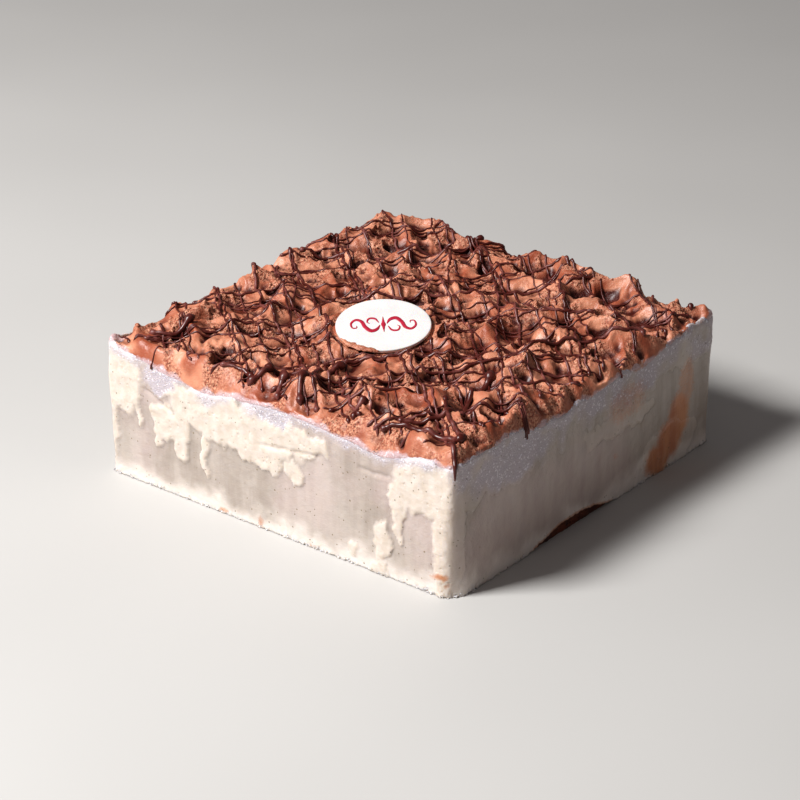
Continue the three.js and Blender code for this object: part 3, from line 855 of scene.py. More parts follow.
# Ellipses: along the wall, up, half width, half height, and for stains their strength.
SMEARS = [
    [
        (-90, 50, 11, 16), (-98, 28, 4, 18), (-80.7, 36, 1.6, 8), (-57, 52, 15, 4.5),
        (-65, 35, 8, 9), (-66.7, 26, 2.2, 5), (-54, 31, 5, 11), (-20, 46, 38, 12),
        (-40, 26, 2.4, 10), (10, 49, 22, 6), (11, 32, 6, 5), (-8, 34, 12, 5), (86, 48, 18, 13),
        (69, 36, 5, 9), (71, 25, 2.6, 7), (96, 25, 7, 28), (61, 16, 5, 10), (46, 7, 3, 3.4),
        (60, 2, 5, 4),
    ],
    [
        (-98, 30, 5, 32), (-88, 52, 16, 12), (-40, 58, 30, 5), (22, 38, 26, 6), (64, 10, 22, 11),
        (80, 56, 26, 8),
    ],
    [(-70, 46, 24, 12), (-30, 40, 14, 14), (12, 48, 26, 9), (66, 44, 30, 12)],
    [(-64, 48, 30, 10), (-16, 42, 12, 14), (30, 50, 22, 8), (78, 44, 20, 15)],
]
SMEAR_RELIEF = [0.85, 0.3, 0.8, 0.8]
# The right wall's smears are thin films; this is how opaque each wall's smears are.
CREAMINESS = [1, 0.25, 0.9, 0.9]
# Patches of frost, dotted with painted glints by the finish, beside the frost that lines the rim.
FROST = [
    [(-68, 54, 10, 6), (1, 58, 13, 5.5), (44, 60, 12, 3)], [(-60, 50, 30, 10)], [(20, 56, 20, 6)], [],
]
STAINS = [
    [
        (93, 9.5, 6.5, 2.3, 1), (97, 6, 4.5, 1.7, 0.8), (-30, 1.5, 5, 1.7, 0.8),
        (-8, 2.5, 2.4, 3.4, 0.7), (22, 1, 4, 1.5, 0.4),
    ],
    [
        (55, 7, 13, 10, 1), (64, 14, 14, 12, 1), (72, 24, 11, 14, 0.95), (77, 38, 8, 15, 0.6),
        (28, 46, 19, 11, 0.5), (20, 22, 3, 2, 0.4), (-32, 61.5, 13, 3, 0.9), (38, 60, 9, 2.4, 0.7),
    ],
    [(40, 2, 6, 2, 0.6), (-58, 12, 9, 9, 0.4)],
    [(-20, 2, 5, 2, 0.6), (70, 20, 10, 7, 0.35)],
]
# How far each wall's stains fade at their edges, as a share of their size.
STAIN_FADE = [0.95, 0.65, 0.7, 0.7]


def in_ellipses(along, z, ellipses, soft):
    """Depth inside a set of ellipses: 1 well inside any of them and 0 outside."""
    depth = 0 * z
    for middle, height, half_width, half_height, *strength in ellipses:
        reach = np.hypot((along - middle) / half_width, (z - height) / half_height)
        depth = np.maximum(depth, smoothstep((1.15 - reach) / soft) * (strength or [1])[0])
    return depth


def recess_depth(wall, along):
    place = abs(along - RECESS["middle"]) / RECESS["half_width"]
    return np.where(wall == RIGHT, smoothstep((1 - place) / (1 - RECESS["plateau"])), 0)


print("smears per wall", [len(side) for side in SMEARS])

# %% Skin of the vanilla walls
WALL_COLUMNS = 1000
WALL_ROWS = 80
FROST_RISE = [0.5, 1.3, 1.0, 0.8]

distance = np.arange(WALL_COLUMNS) * 4 * SIDE / WALL_COLUMNS
column_wall = (distance // SIDE).astype(int)
column_along = distance % SIDE - HALF


def around(size, seed, rows=0.0, layers=2):
    """Noise along the walk round the cake that joins up with itself."""
    lumps = round(4 * SIDE / size)
    return layered(distance + 0 * rows, rows + 0 * distance, 4 * SIDE / lumps, seed, layers, lumps)


def ellipses_by_wall(along, z, tables, soft):
    return by_wall(column_wall, lambda side: in_ellipses(along, z, tables[side], soft[side]))


recess = recess_depth(column_wall, column_along)
skirt = 0.2 * np.sin(column_along / 2.3) + 0.15 * np.sin(column_along / 0.9 + 2)
skirt = np.clip(skirt + 0.5 * around(2.6, 81, layers=3), 0.04, 3) + RECESS["rise"] * recess
rim = by_wall(column_wall, lambda side: rim_height(side, column_along))
frost_rise = np.choose(column_wall, FROST_RISE)
crown = rim + frost_rise * (1.1 + 1.3 * around(13, 85)) + 0.3 + 0.12 * around(2.5, 88)
share = np.linspace(0, 1, WALL_ROWS)[:, None]
wall_z = skirt * (1 - share) + crown * share
along_grid = column_along + 0 * share

ragged = along_grid + 0.9 * np.sin(wall_z / 3.1) + 1.8 * around(9, 91, wall_z, 3)
ragged = ragged + 0.5 * around(1.8, 93, wall_z)
lifted = wall_z + 0.9 * np.sin(along_grid / 2.9 + 1) + 2.6 * around(6, 95, wall_z / 3, 3)
cream = ellipses_by_wall(ragged, lifted, SMEARS, [0.2] * 4)
calm_along, calm_z = [
    even + 0.4 * (bent - even) for even, bent in ((along_grid, ragged), (wall_z, lifted))
]
stain = ellipses_by_wall(calm_along, calm_z, STAINS, STAIN_FADE)
lifted_foot = smoothstep(4 * recess)
stain = np.maximum(stain, 0.75 * lifted_foot * smoothstep(1.6 - (wall_z - skirt) / 0.8))
patches = ellipses_by_wall(ragged, lifted, FROST, [0.4] * 4)
foot = smoothstep((13 - wall_z) / 11 + 0.45 * around(16, 97, wall_z, 4))
print("skin points", wall_z.size, "rim", rim.min(), "to", round(float(crown.max()), 1), "mm")

# %% Relief and masks of the walls
CORNER_BLEND = 3.5
NEAREST = 0.03
FROST_DEPTH = [5, 13, 8, 8]
# Shadow lines where one layer of cream stops over another: wall, middle, half width, height, tilt.
LEDGES = [(FRONT, 9, 20, 43, 0.1), (FRONT, -68, 12, 44, -0.35), (FRONT, 57, 10, 47, 0.02)]


def softened(field, size, pad=8, spacing=0.8):
    """A skin's values smoothed along its rows and up its columns, by about size in mm."""
    padded = np.pad(field, ((pad, pad), (0, 0)), mode="edge")
    rows, columns = [np.fft.fftfreq(count) for count in padded.shape]
    waves = rows[:, None] ** 2 + columns[None, :] ** 2
    fall = np.exp(-2 * (math.pi * size) ** 2 * waves / spacing**2)
    return np.fft.ifft2(np.fft.fft2(padded) * fall).real[pad:-pad]


def round_corners(field):
    """Blends a skin's values across the cake's four corners, so that no step is left there."""
    near = np.exp(-(((HALF - abs(column_along)) / CORNER_BLEND) ** 2))
    return field * (1 - near) + softened(field, CORNER_BLEND) * near


below_rim = crown - wall_z
frost = 1.25 - below_rim / np.choose(column_wall, FROST_DEPTH) + 0.8 * around(14, 101, wall_z, 3)
frost = np.maximum(smoothstep(frost), patches)
cream, stain, foot, frost = [round_corners(field) for field in (cream * (1 - patches), stain, foot, frost)]
thickness = np.choose(column_wall, SMEAR_RELIEF) * (0.85 + 0.35 * around(8, 105, wall_z))
relief = thickness * softened(cream, 0.5) + 0.35 * foot * abs(around(5, 108, wall_z, 3))
relief = relief + 0.16 * cream * around(7, 109, 0.5 * wall_z, 3) - 0.12 * (1 - cream) * (1 - foot)
for wall, middle, half_width, height, tilt in LEDGES:
    from_line = wall_z - height - tilt * (along_grid - middle) - 0.6 * around(7, 117, wall_z)
    fade = smoothstep(3 - 3 * abs(along_grid - middle) / half_width)
    relief = relief - 0.8 * np.exp(-((from_line / 0.9) ** 2)) * (column_wall == wall) * fade
relief = round_corners(relief) + 0.14 * around(18, 111, wall_z, 4)
relief = relief + 0.3 * frost * abs(around(5, 115, wall_z, 3))
wall_inset = np.clip(FACE_INSET - relief, NEAREST, 3) + 1.3 * np.clip(1 - below_rim / 2.2, 0, 1) ** 2
crumble = np.clip(1 - (wall_z - skirt) / 3, 0, 1)
wall_inset = wall_inset - 0.35 * crumble**2 + 0.5 * crumble * around(1.7, 121, wall_z)
wall_inset = np.maximum(wall_inset, NEAREST)
print("wall inset", wall_inset.min().round(2), "to", wall_inset.max().round(2), "mm")

# %% The walls as one closed piece
def wall_points(inset, z):
    """Points round the cake at an inset from its square outline, with the corners rounded."""
    wall = column_wall + 0 * z.astype(int)
    half = HALF - inset + 0 * z
    t = (column_along + 0 * z) * half / HALF
    x, y = np.choose(wall, [t, half, -t, -half]), np.choose(wall, [-half, t, half, -t])
    return np.stack([*round_corner(x, y, corner_rounding(x, y, z)), z], -1)


def make_walls():
    """The skin with a hidden underside and a hidden inner wall, from the sponge up to the pocket."""
    level = np.zeros(WALL_COLUMNS)
    under = [
        (SKIRT_INSET, level + SPONGE_HEIGHT + GAP), (SKIRT_INSET, skirt), (2.5, skirt),
        (1.6, skirt - 0.1),
    ]
    inner = [(2.9, crown - 0.6), (3.3, rim - 2.5), (3.3, level + POCKET_FLOOR)]
    below, above = [[wall_points(inset, z) for inset, z in rings] for rings in (under, inner)]
    rings = np.array(below + list(wall_points(wall_inset, wall_z)) + above)
    rings[..., 2] = np.maximum(rings[..., 2], 0.05)
    piece = make_rings("vanilla_body", rings, [[0, 0, SPONGE_HEIGHT + GAP], [0, 0, POCKET_FLOOR]])
    crumbly = smoothstep(1.5 - wall_z) * smoothstep(0.6 + around(12, 125)) * (1 - lifted_foot)
    opaque = round_corners(cream * np.choose(column_wall, CREAMINESS))
    masks = {"cream": opaque, "frost": frost, "stain": stain, "foot": foot, "crumbly": crumbly}
    for name, field in masks.items():
        hidden = [np.zeros(len(under) * WALL_COLUMNS), np.zeros(len(inner) * WALL_COLUMNS + 2)]
        add_mask(piece, name, np.concatenate([hidden[0], field.ravel(), hidden[1]]))
    return piece


walls = make_walls()
print("wall faces", len(walls.data.polygons))

# %% [markdown]
# The cut foot of a frozen wall is never a clean line: small crumbs of ice cream cling to it. The
# tree that made the chocolate crumbs is used again with smaller lumps, thickly set and only along
# the foot. Afterwards every lump is kept above the ground and inside the cake's square.

# %% Crumbs along the foot
FOOT_CRUMBS = {"Crumbs": 800000.0, "Smallest": 0.0002, "Largest": 0.0007, "Seed": 11}
CRUMB_MARGIN = 0.02 * MM

vanilla_finish = bpy.data.materials.new("vanilla_ice_cream")
foot_crumbs = grown(walls, make_crumb_tree(vanilla_finish), FOOT_CRUMBS, "foot_crumbs")
places = np.array([vertex.co for vertex in foot_crumbs.data.vertices])
places[:, :2] = np.clip(places[:, :2], CRUMB_MARGIN - HALF * MM, HALF * MM - CRUMB_MARGIN)
places[:, 2] = np.maximum(places[:, 2], CRUMB_MARGIN)
foot_crumbs.data.vertices.foreach_set("co", places.ravel())
add_mask(foot_crumbs, "foot", np.ones(len(places)))
print("foot crumb faces", len(foot_crumbs.data.polygons))

# %% [markdown]
# The sponge is a thin dark sheet. Only a lens of it shows, where the wall's foot is lifted. Its
# cut side is crumbly, so its ring of points is pushed in and out by two sizes of noise.

# %% Sponge layer
SPONGE_INSET = 5.4
SPONGE_BULGE = 3.6
SPONGE_ROWS = 9


def make_sponge():
    side = SPONGE_INSET + 0.15 * np.sin(column_along / 2.1) - SPONGE_BULGE * lifted_foot
    rows = np.linspace(0, SPONGE_HEIGHT, SPONGE_ROWS)[:, None]
    rough_side = 0.3 + 0.35 * around(2.4, 131, rows) + 0.25 * around(1.6, 135, rows)
    rings = wall_points(side + np.clip(rough_side, 0, 1.2), rows + 0 * column_along)
    return make_rings("sponge_layer", rings, [[0, 0, 0], [0, 0, SPONGE_HEIGHT]])


sponge = make_sponge()
print("sponge faces", len(sponge.data.polygons))

# %% [markdown]
# The plaque is a pressed white oval with softened edges. It carries a plain flourish, drawn as
# two mirrored scrolls round a diamond, each a thin raised ribbon of crimson.

# %% Oval plaque
PLAQUE_SOFT_EDGE = 0.45
PLAQUE_POINTS = 160
# Insets of the rings that keep the plaque's two faces flat.
PLAQUE_FLAT = (1.6, 6)
SMUDGE_ANGLES = (206, 262)
SMUDGE_WIDE = 1.7
SMUDGE_TALL = 0.85
SMUDGE_SINK = 0.35
SMUDGE_POINTS = 16
SMUDGE_RINGS = 36


def on_plaque(u, v, w):
    """Points in the cake's frame from millimetres along, up the slope and out of the plaque."""
    u, v, w = [np.asarray(value, float)[..., None] for value in (u, v, w)]
    return PLAQUE_CENTRE + u * LONG + v * SLOPE + w * NORMAL


def make_plaque():
    turn = np.linspace(0, 2 * math.pi, PLAQUE_POINTS, endpoint=False)
    soft, top = PLAQUE_SOFT_EDGE, PLAQUE_THICKNESS
    bend = np.linspace(0, math.pi / 2, 5)
    outline = [(soft * (1 - math.sin(a)), soft * (1 - math.cos(a))) for a in bend]
    outline += [(inset, top - height) for inset, height in outline[::-1]]
    near, far = PLAQUE_FLAT
    outline = [(far, 0)] + outline + [(near, top), (far, top)]
    half_long, half_short = PLAQUE_HALF
    rings = [
        on_plaque((half_long - inset) * np.cos(turn), (half_short - inset) * np.sin(turn), height + 0 * turn)
        for inset, height in outline
    ]
    return make_rings("oval_plaque_top", rings, on_plaque([0, 0], [0, 0], [0, top]))


def make_smudge():
    """Ice cream smeared along the plaque's lower left rim, as an uneven flattened roll."""
    turn = np.linspace(0, 2 * math.pi, SMUDGE_POINTS, endpoint=False)
    rings = []
    for share in np.linspace(0, 1, SMUDGE_RINGS):
        angle = math.radians(SMUDGE_ANGLES[0] + (SMUDGE_ANGLES[1] - SMUDGE_ANGLES[0]) * share)
        lumps = 1 + 0.5 * layered(17 * share + 0 * turn, 3 * np.cos(turn), 3.1, 151, 3)
        fat = (math.sin(math.pi * (0.03 + 0.94 * share)) ** 0.6) * lumps
        out = SMUDGE_WIDE * fat * np.cos(turn) - 0.1
        along, up = [half + out for half in PLAQUE_HALF]
        height = PLAQUE_THICKNESS - SMUDGE_SINK + SMUDGE_TALL * fat * np.sin(turn)
        rings.append(on_plaque(along * math.cos(angle), up * math.sin(angle), height))
    return make_rings("plaque_smudge", rings, [rings[0].mean(0), rings[-1].mean(0)])


plaque, smudge = make_plaque(), make_smudge()
add_mask(smudge, "torn", np.full(len(smudge.data.vertices), 0.4))
print("plaque faces", len(plaque.data.polygons), "smudge faces", len(smudge.data.polygons))

# %% Flourish on the plaque
RIBBON_HEIGHT = 0.12
# Knots of the lines: along the plaque, up its slope, half width.
SCROLL = [
    (1.6, 0.4, 0.25), (3.2, 3.2, 0.95), (5.9, 4.0, 1.2), (8.3, 1.2, 1.05), (9.7, -2.4, 0.95),
    (12.2, -3.6, 0.8), (14.4, -1.4, 0.6), (14.0, 1.6, 0.45), (12.2, 1.8, 0.35), (12.0, 0.4, 0.2),
]
TENDRIL = [(2.0, -1.2, 0.2), (3.6, -4.0, 0.65), (6.2, -4.2, 0.6), (7.2, -2.0, 0.4), (6.2, -0.9, 0.2)]
DIAMOND = [(0, -5.2, 0.1), (0, -1.8, 0.7), (0, 0, 1.2), (0, 1.8, 0.7), (0, 5.2, 0.1)]


def smooth_line(knots, steps=10):
    """A curve through knots (Catmull-Rom)."""
    knots = np.array([knots[0], *knots, knots[-1]], float)
    t = np.linspace(0, 1, steps, endpoint=False)[:, None]
    parts = []
    for a, b, c, d in zip(knots, knots[1:], knots[2:], knots[3:]):
        rise, bend = (c - a) / 2, a - 2.5 * b + 2 * c - d / 2
        parts.append(b + rise * t + bend * t**2 + (1.5 * (b - c) + (d - a) / 2) * t**3)
    return np.concatenate(parts + [knots[-1:]])


def ribbon(line):
    """Points and faces of a low ribbon with a rounded back along a line of places and widths."""
    place, half = line[:, :2], line[:, 2]
    ahead = np.gradient(place, axis=0)
    ahead = ahead / np.linalg.norm(ahead, axis=1, keepdims=True)
    across = np.column_stack([-ahead[:, 1], ahead[:, 0]])
    rows = []
    for side, height in [(-1, -0.3), (-0.7, 1), (0.7, 1), (1, -0.3)]:
        u, v = (place + across * (side * half)[:, None]).T
        rows.append(on_plaque(u, v, PLAQUE_THICKNESS + height * RIBBON_HEIGHT))
    points = np.stack(rows, 1).reshape(-1, 3)
    index = np.arange(len(points)).reshape(-1, len(rows))
    faces = grid_faces(np.concatenate([index, index[:, :1]], axis=1)).tolist()
    return points, faces + [index[0].tolist(), index[-1, ::-1].tolist()]


def make_flourish():
    mirrored = [
        [(mirror * x, mirror * y, half) for x, y, half in knots]
        for mirror in (1, -1) for knots in (SCROLL, TENDRIL)
    ]
    points, faces, count = [], [], 0
    for knots in mirrored + [DIAMOND]:
        some_points, some_faces = ribbon(smooth_line(knots))
        faces += [[corner + count for corner in face] for face in some_faces]
        points.append(some_points)
        count += len(some_points)
    return make_mesh("plaque_flourish", np.concatenate(points), faces)


flourish = make_flourish()
print("flourish faces", len(flourish.data.polygons))

# %% [markdown]
# Three effects serve several finishes, so each is one shader node group. Cloudiness mixes two
# shades in soft patches. Pores are the small holes of whipped and frozen cream. Frost crystals
# are tiny grains that give a fine bump, and a share of them are marked as painted glints, specks
# of painted highlight. All three read Object coordinates, which are metres here, so sizes are
# given as lumps per metre.

# %% Shader node groups
PORE_WARP = 0.0012
PORE_BRIM = 0.42
PORE_FLOOR = 0.12


def ranged(tree, value, low, high, kind="LINEAR"):
    """How far a value lies on its way from low to high, from 0 to 1."""
    inputs = {"Value": value, "From Min": low, "From Max": high}
    return add_node(tree, "ShaderNodeMapRange", inputs, interpolation_type=kind).outputs[0]


def make_cloud_group():
    tree, given, results = new_group(
        "soft_clouds", "ShaderNodeTree",
        {"Scale": 50.0, "Detail": 4.0, "From": 0.4, "To": 0.6, "Upward": 1.0}, {"Mask": 0.0, "Height": 0.0},
    )
    place = add_node(tree, "ShaderNodeTexCoord").outputs["Object"]
    drawn = add_node(tree, "ShaderNodeCombineXYZ", {"X": 1.0, "Y": 1.0, "Z": given["Upward"]})
    spot = add_node(tree, "ShaderNodeVectorMath", {0: place, 1: drawn}, operation="MULTIPLY")
    cloud = add_node(tree, "ShaderNodeTexNoise", {
        "Vector": spot, "Scale": given["Scale"], "Detail": given["Detail"], "Roughness": 0.6,
    }).outputs["Fac"]
    tree.links.new(ranged(tree, cloud, given["From"], given["To"], "SMOOTHSTEP"), results["Mask"])
    tree.links.new(cloud, results["Height"])
    return tree


def make_pore_group():
    tree, given, results = new_group(
        "torn_pores", "ShaderNodeTree", {"Scale": 700.0, "Share": 0.5}, {"Pores": 0.0, "Height": 0.0}
    )
    place = add_node(tree, "ShaderNodeTexCoord").outputs["Object"]
    warp = add_node(tree, "ShaderNodeTexNoise", {"Vector": place, "Scale": 500.0}).outputs["Color"]
    bent = add_node(tree, "ShaderNodeVectorMath", {
        0: warp, 1: (PORE_WARP,) * 3, 2: place,
    }, operation="MULTIPLY_ADD")
    cells = add_node(tree, "ShaderNodeTexVoronoi", {"Vector": bent, "Scale": given["Scale"]})
    chance = add_node(tree, "ShaderNodeSeparateColor", {"Color": cells.outputs["Color"]}).outputs[0]
    chosen = maths(tree, "GREATER_THAN", given["Share"], chance)
    hole = ranged(tree, cells.outputs["Distance"], PORE_BRIM, PORE_FLOOR, "SMOOTHSTEP")
    pores = maths(tree, "MULTIPLY", hole, chosen)
    tree.links.new(pores, results["Pores"])
    tree.links.new(maths(tree, "SUBTRACT", 1.0, pores), results["Height"])
    return tree


# The glints are painted highlights: a share of the cells is marked to be coloured bright.
def make_grain_and_glints_group():
    tree, given, results = new_group(
        "frost_grain_and_painted_glints", "ShaderNodeTree", {"Scale": 1400.0, "Share": 0.2}, {"Painted_glints": 0.0, "Height": 0.0}
    )
    place = add_node(tree, "ShaderNodeTexCoord").outputs["Object"]
    cells = add_node(tree, "ShaderNodeTexVoronoi", {"Vector": place, "Scale": given["Scale"]})
    chance = add_node(tree, "ShaderNodeSeparateColor", {"Color": cells.outputs["Color"]}).outputs[1]
    tree.links.new(maths(tree, "GREATER_THAN", given["Share"], chance), results["Painted_glints"])
    tree.links.new(maths(tree, "SUBTRACT", 1.0, cells.outputs["Distance"]), results["Height"])
    return tree


clouds_group, pores_group, grain_and_glints_group = make_cloud_group(), make_pore_group(), make_grain_and_glints_group()
print("shader groups", [group.name for group in (clouds_group, pores_group, grain_and_glints_group)])

# %% Material helpers
def srgb(red, green, blue):
    """A colour given on a 0 to 255 screen scale, as the light values a shader works in."""
    values = [channel / 255 for channel in (red, green, blue)]
    linear = [v / 12.92 if v <= 0.04045 else ((v + 0.055) / 1.055) ** 2.4 for v in values]
    return (*linear, 1)


def start_material(material, **sockets):
    """Clears a material to one Principled BSDF with the given plain values."""
    material.use_nodes = True
    tree = material.node_tree
    tree.nodes.clear()
    inputs = {key.replace("_", " "): value for key, value in sockets.items()}
    shader = add_node(tree, "ShaderNodeBsdfPrincipled", inputs)
    add_node(tree, "ShaderNodeOutputMaterial", {"Surface": shader})
    return tree, shader


def shared(tree, group, *values):
    """Puts a group in a material, fills its inputs in their order, and gives its outputs."""
    return add_node(tree, "ShaderNodeGroup", dict(enumerate(values)), node_tree=group).outputs


def mask_of(tree, name):
    return add_node(tree, "ShaderNodeAttribute", attribute_name=name).outputs["Fac"]


def scaled(tree, value, factor, plus=0.0):
    return maths(tree, "MULTIPLY_ADD", value, factor, plus)


def blended(tree, share, low, high):
    """Mixes two numbers, each a number or a socket."""
    return add_node(tree, "ShaderNodeMix", {0: share, 2: low, 3: high}, data_type="FLOAT").outputs[0]


def mixed(tree, share, low, high):
    """Mixes two colours, each a colour or a socket."""
    return add_node(tree, "ShaderNodeMix", {0: share, 6: low, 7: high}, data_type="RGBA").outputs[2]


def overlaid(tree, shade, layers):
    """Lays more colours over a shade. Each layer is a mask, its strength and its colour."""
    for mask, strength, colour in layers:
        shade = mixed(tree, scaled(tree, mask, strength), shade, colour)
    return shade


def paint(tree, shader, shade, roughness, bumps=()):
    """Links a colour, a roughness and chained bumps: height, share of strength, depth in metres."""
    normal = {}
    for height, strength, distance in bumps:
        inputs = {"Height": height, "Strength": strength, "Distance": distance, **normal}
        normal = {"Normal": add_node(tree, "ShaderNodeBump", inputs).outputs[0]}
    for name, value in {"Base Color": shade, "Roughness": roughness, **normal}.items():
        tree.links.new(value, shader.inputs[name])


def two_tone(material, clouds, shades, roughness, bumps=(), **sockets):
    """A finish of two shades in soft clouds. Each bump is clouds of its own, strength and depth."""
    tree, shader = start_material(material, **sockets)
    mask = shared(tree, clouds_group, *clouds)["Mask"]
    shade = mixed(tree, mask, *[srgb(*colour) for colour in shades])
    layers = [(shared(tree, clouds_group, *fine)["Height"], *how) for fine, *how in bumps]
    paint(tree, shader, shade, blended(tree, mask, *roughness), layers)


print("warm brown in light values", [round(v, 3) for v in srgb(150, 92, 66)[:3]])

# %% [markdown]
# Chocolate ice cream is a milky brown that light enters a little. Its scooped faces are smooth
# and slightly wet, and its torn patches are paler, matte and full of pores. The stored masks
# choose between the two, and near the rim frost greys it. The hollows and the pores are darkened
# as painted shade, and the frost carries painted glints.

# %% Chocolate ice cream
def finish_chocolate(material):
    tree, shader = start_material(
        material, Subsurface_Weight=0.15, Subsurface_Radius=(1.0, 0.45, 0.3), Subsurface_Scale=0.001,
        Specular_IOR_Level=0.42, Coat_Weight=0.1, Coat_Roughness=0.3,
    )
    torn_mask, hollow_shade_mask, frosted = [mask_of(tree, name) for name in ("torn", "hollow_shade", "frosted")]
    large = shared(tree, clouds_group, 45, 3, 0.35, 0.65)
    small = shared(tree, clouds_group, 900, 3, 0.35, 0.7)
    lumps = shared(tree, clouds_group, 330, 4, 0.35, 0.65)
    pores = shared(tree, pores_group, 900, 0.6)
    grain = shared(tree, grain_and_glints_group, 1500, 0.16)
    smooth_shade = mixed(tree, large["Mask"], srgb(150, 80, 56), srgb(204, 142, 114))
    torn_shade = mixed(tree, small["Mask"], srgb(152, 83, 60), srgb(216, 160, 131))
    broken_frost = ranged(
        tree, frosted, scaled(tree, lumps["Height"], 0.9, -0.1), scaled(tree, small["Height"], 0.9, 0.35)
    )
    # The mask is negative in the hollows, which get a dark colour as painted shade.
    shade = overlaid(tree, mixed(tree, torn_mask, smooth_shade, torn_shade), [
        (hollow_shade_mask, -1.9, srgb(68, 17, 7)),
        # Painted shade: the pores on the torn patches are darkened.
        (maths(tree, "MULTIPLY", pores["Pores"], torn_mask), 0.55, srgb(78, 28, 15)),
        (broken_frost, 0.8, srgb(196, 174, 178)),
        # Painted highlight: glints of light-coloured specks on the frost.
        (maths(tree, "MULTIPLY", grain["Painted_glints"], broken_frost), 0.4, srgb(240, 230, 234)),
    ])
    dull = blended(tree, torn_mask, 0.4, 0.66)
    paint(tree, shader, shade, blended(tree, broken_frost, dull, 0.6), [
        (lumps["Height"], scaled(tree, torn_mask, 0.45, 0.2), 0.003),
        (small["Height"], scaled(tree, torn_mask, 0.5, 0.2), 0.0012),
        (pores["Height"], scaled(tree, torn_mask, 0.85, 0.05), 0.0006),
        (grain["Height"], scaled(tree, broken_frost, 0.3), 0.0005),
    ])


finish_chocolate(heap_finish)
for piece in (heap, smudge):
    piece.data.materials.append(heap_finish)
print("chocolate nodes", len(heap_finish.node_tree.nodes))

# %% [markdown]
# Set drizzle is dark chocolate: nearly black, reddish where thin, with a clear gloss that is
# dulled in places by a bloom of frost.

# %% Glossy drizzle
two_tone(
    drizzle_finish, (120, 4, 0.42, 0.68), [(76, 27, 20), (118, 66, 60)], (0.34, 0.5),
    [((1600, 2, 0.3, 0.7), 0.12, 0.0005)], Specular_IOR_Level=0.5, Subsurface_Weight=0.05,
    Subsurface_Scale=0.001,
)
print("drizzle nodes", len(drizzle_finish.node_tree.nodes))

# %% [markdown]
# The vanilla walls mix three finishes by their masks: grey, icy, translucent cream; opaque warm
# cream in the smears; and pale frost under the rim, with a faint lilac tint that is a painted
# reflection of violet surroundings and glints that are painted highlights. Dark flecks are
# vanilla seeds, and caramel stains soak in from the sponge.

# %% Vanilla ice cream
def finish_vanilla(material):
    tree, shader = start_material(
        material, Subsurface_Weight=0.6, Subsurface_Radius=(1.0, 0.85, 0.65), Subsurface_Scale=0.004,
        Specular_IOR_Level=0.5,
    )
    names = ("cream", "frost", "stain", "foot")
    cream_mask, frost_mask, stain_mask, foot_mask = [mask_of(tree, name) for name in names]
    large = shared(tree, clouds_group, 28, 4, 0.38, 0.66)
    small = shared(tree, clouds_group, 260, 4, 0.35, 0.65)
    streaks = shared(tree, clouds_group, 130, 3, 0.35, 0.7, 0.16)
    speckle = shared(tree, clouds_group, 800, 4, 0.35, 0.65)
    blush = shared(tree, clouds_group, 15, 3, 0.46, 0.62)
    pores = shared(tree, pores_group, 420, 0.2)
    seeds = shared(tree, pores_group, 800, 0.045)
    grain = shared(tree, grain_and_glints_group, 1500, 0.11)
    icy = overlaid(tree, mixed(tree, large["Mask"], srgb(163, 151, 141), srgb(181, 170, 161)), [
        (blush["Mask"], 0.5, srgb(191, 171, 167)), (streaks["Mask"], 0.35, srgb(206, 194, 186)),
        (foot_mask, 0.85, srgb(225, 215, 207)),
    ])
    soft = mixed(tree, small["Mask"], srgb(206, 193, 180), srgb(215, 203, 193))
    stained = ranged(tree, stain_mask, scaled(tree, speckle["Mask"], 0.36, 0.02), 0.95)
    caramel = mixed(tree, streaks["Mask"], srgb(178, 104, 58), srgb(204, 139, 90))
    # The frost's pale grey is its own; its faint lilac tint is a painted reflection, and the glints over it
    # are painted highlights.
    shade = overlaid(tree, mixed(tree, cream_mask, icy, soft), [
        (frost_mask, 0.7, srgb(191, 183, 192)), (stained, 0.85, caramel),
        (seeds["Pores"], 0.8, srgb(110, 96, 66)),
        (maths(tree, "MULTIPLY", grain["Painted_glints"], frost_mask), 0.5, srgb(248, 245, 248)),
    ])
    dull = blended(tree, cream_mask, 0.26, 0.42)
    paint(tree, shader, shade, blended(tree, frost_mask, dull, 0.55), [
        (small["Height"], 0.25, 0.002), (pores["Height"], scaled(tree, cream_mask, 0.4), 0.0008),
        (grain["Height"], scaled(tree, frost_mask, 0.5, 0.06), 0.0005),
    ])


finish_vanilla(vanilla_finish)
walls.data.materials.append(vanilla_finish)
print("vanilla nodes", len(vanilla_finish.node_tree.nodes))

# %% [markdown]
# The sponge is dull and full of pores, which are darkened as painted shade. The plaque and its
# flourish are two close shades each, the plaque with a faint bump and a satin sheen.

# %% Sponge, plaque and flourish
def finish_sponge(material):
    tree, shader = start_material(material, Subsurface_Weight=0.1, Subsurface_Scale=0.001)
    clouds, crumb = shared(tree, clouds_group, 200, 4, 0.35, 0.65), shared(tree, pores_group, 800, 0.8)
    shade = mixed(tree, clouds["Mask"], srgb(74, 36, 24), srgb(112, 60, 38))
    # Painted shade: the pores are darkened.
    shade = overlaid(tree, shade, [(crumb["Pores"], 0.6, srgb(40, 18, 12))])
    paint(tree, shader, shade, blended(tree, clouds["Mask"], 0.75, 0.9), [(crumb["Height"], 0.9, 0.0008)])


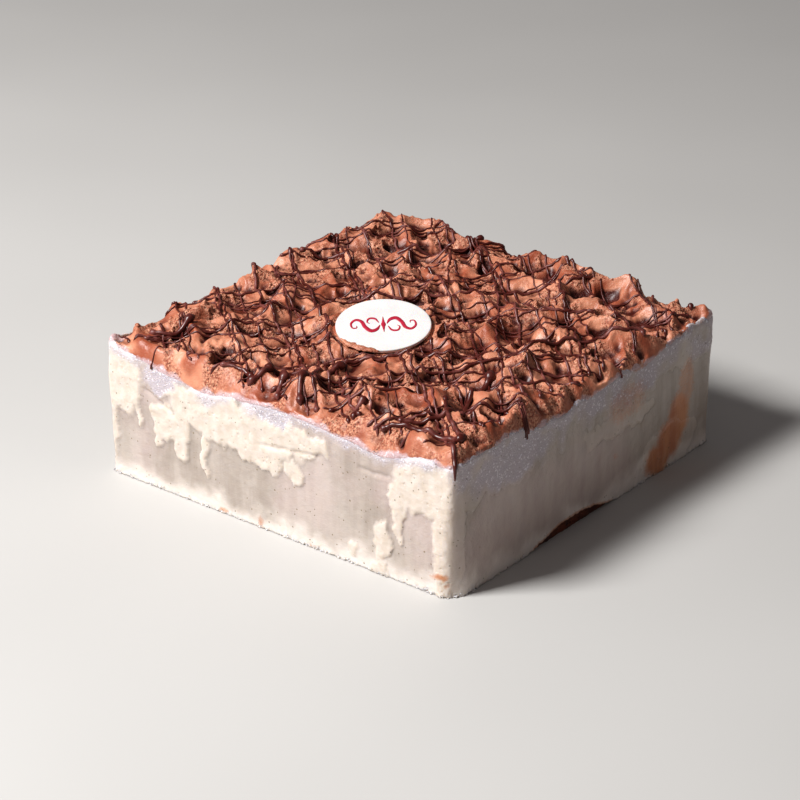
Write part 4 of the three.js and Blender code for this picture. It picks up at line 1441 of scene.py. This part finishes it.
names = ("dark_sponge", "white_plaque", "crimson_flourish")
sponge_finish, plaque_finish, crimson_finish = [bpy.data.materials.new(name) for name in names]
finish_sponge(sponge_finish)
two_tone(
    plaque_finish, (90, 3, 0.3, 0.7), [(209, 206, 204), (217, 214, 212)], (0.34, 0.44),
    [((90, 3, 0.3, 0.7), 0.1, 0.002)], Subsurface_Weight=0.15, Subsurface_Scale=0.001,
    Specular_IOR_Level=0.5,
)
two_tone(
    crimson_finish, (400, 3, 0.3, 0.7), [(158, 28, 52), (178, 42, 66)], (0.35, 0.5), Specular_IOR_Level=0.5
)
for piece, finish in [(sponge, sponge_finish), (plaque, plaque_finish), (flourish, crimson_finish)]:
    piece.data.materials.append(finish)
print("materials", len(bpy.data.materials))

# %% [markdown]
# The floor is a plain pale sheet under soft studio light. A large lamp at the front left lights
# the creamy wall and rakes over the crags, and the weak sky fills the shaded side.

# %% Floor and lights
FLOOR_REACH = 3000
LAMP_PLACE = Vector((-0.55, -1.1, 1.3))
LAMP_TARGET = Vector((0, 0, 0.05))
LAMP_SIZE = 0.5
LAMP_WATTS = 47
SKY_COLOUR = (1, 0.94, 0.95, 1)
SKY_STRENGTH = 0.16

floor_corners = [(-1, -1, 0), (1, -1, 0), (1, 1, 0), (-1, 1, 0)]
floor = make_mesh("floor", np.array(floor_corners) * FLOOR_REACH, [(0, 1, 2, 3)])
floor_finish = bpy.data.materials.new("pale_floor")
two_tone(
    floor_finish, (3, 2, 0.2, 0.8), [(184, 182, 179), (189, 187, 184)], (0.6, 0.7),
    Specular_IOR_Level=0.2,
)
floor.data.materials.append(floor_finish)

lamp = add_object("key_light", bpy.data.lights.new("key_light", "AREA"))
lamp.data.size = LAMP_SIZE
lamp.data.energy = LAMP_WATTS
lamp.location = LAMP_PLACE
aim(lamp, LAMP_TARGET)
world = bpy.data.worlds.new("studio")
bpy.context.scene.world = world
world.use_nodes = True
sky = world.node_tree.nodes["Background"].inputs
sky["Color"].default_value = SKY_COLOUR
sky["Strength"].default_value = SKY_STRENGTH
# A plain view transform with firmer contrast keeps the chocolate deep. The pale colours above
# are set a little darker than they are seen, because this look brightens them.
bpy.context.scene.view_settings.view_transform = "Standard"
bpy.context.scene.view_settings.look = "Medium High Contrast"
print("floor and lights placed")

# %% Every piece rides on the cake's one body
PLACES = [
    (heap, ["chocolate_ice_cream"], "chocolate"), (walls, ["vanilla_ice_cream"], "vanilla"),
    (sponge, ["sponge_base"], "sponge"), (plaque, ["oval_plaque"], "plaque"),
    (flourish, ["oval_plaque"], "plaque"), (crumbs, ["chocolate_ice_cream"], "chocolate"),
    (smudge, ["chocolate_ice_cream"], "chocolate"), (foot_crumbs, ["vanilla_ice_cream"], "vanilla"),
]
PLACES += [(piece, ["chocolate_ice_cream"], "chocolate") for piece in cords.values()]
for piece, nodes, slot in PLACES:
    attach(piece, "root")
    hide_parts(*nodes)
print("pieces", len(PLACES))
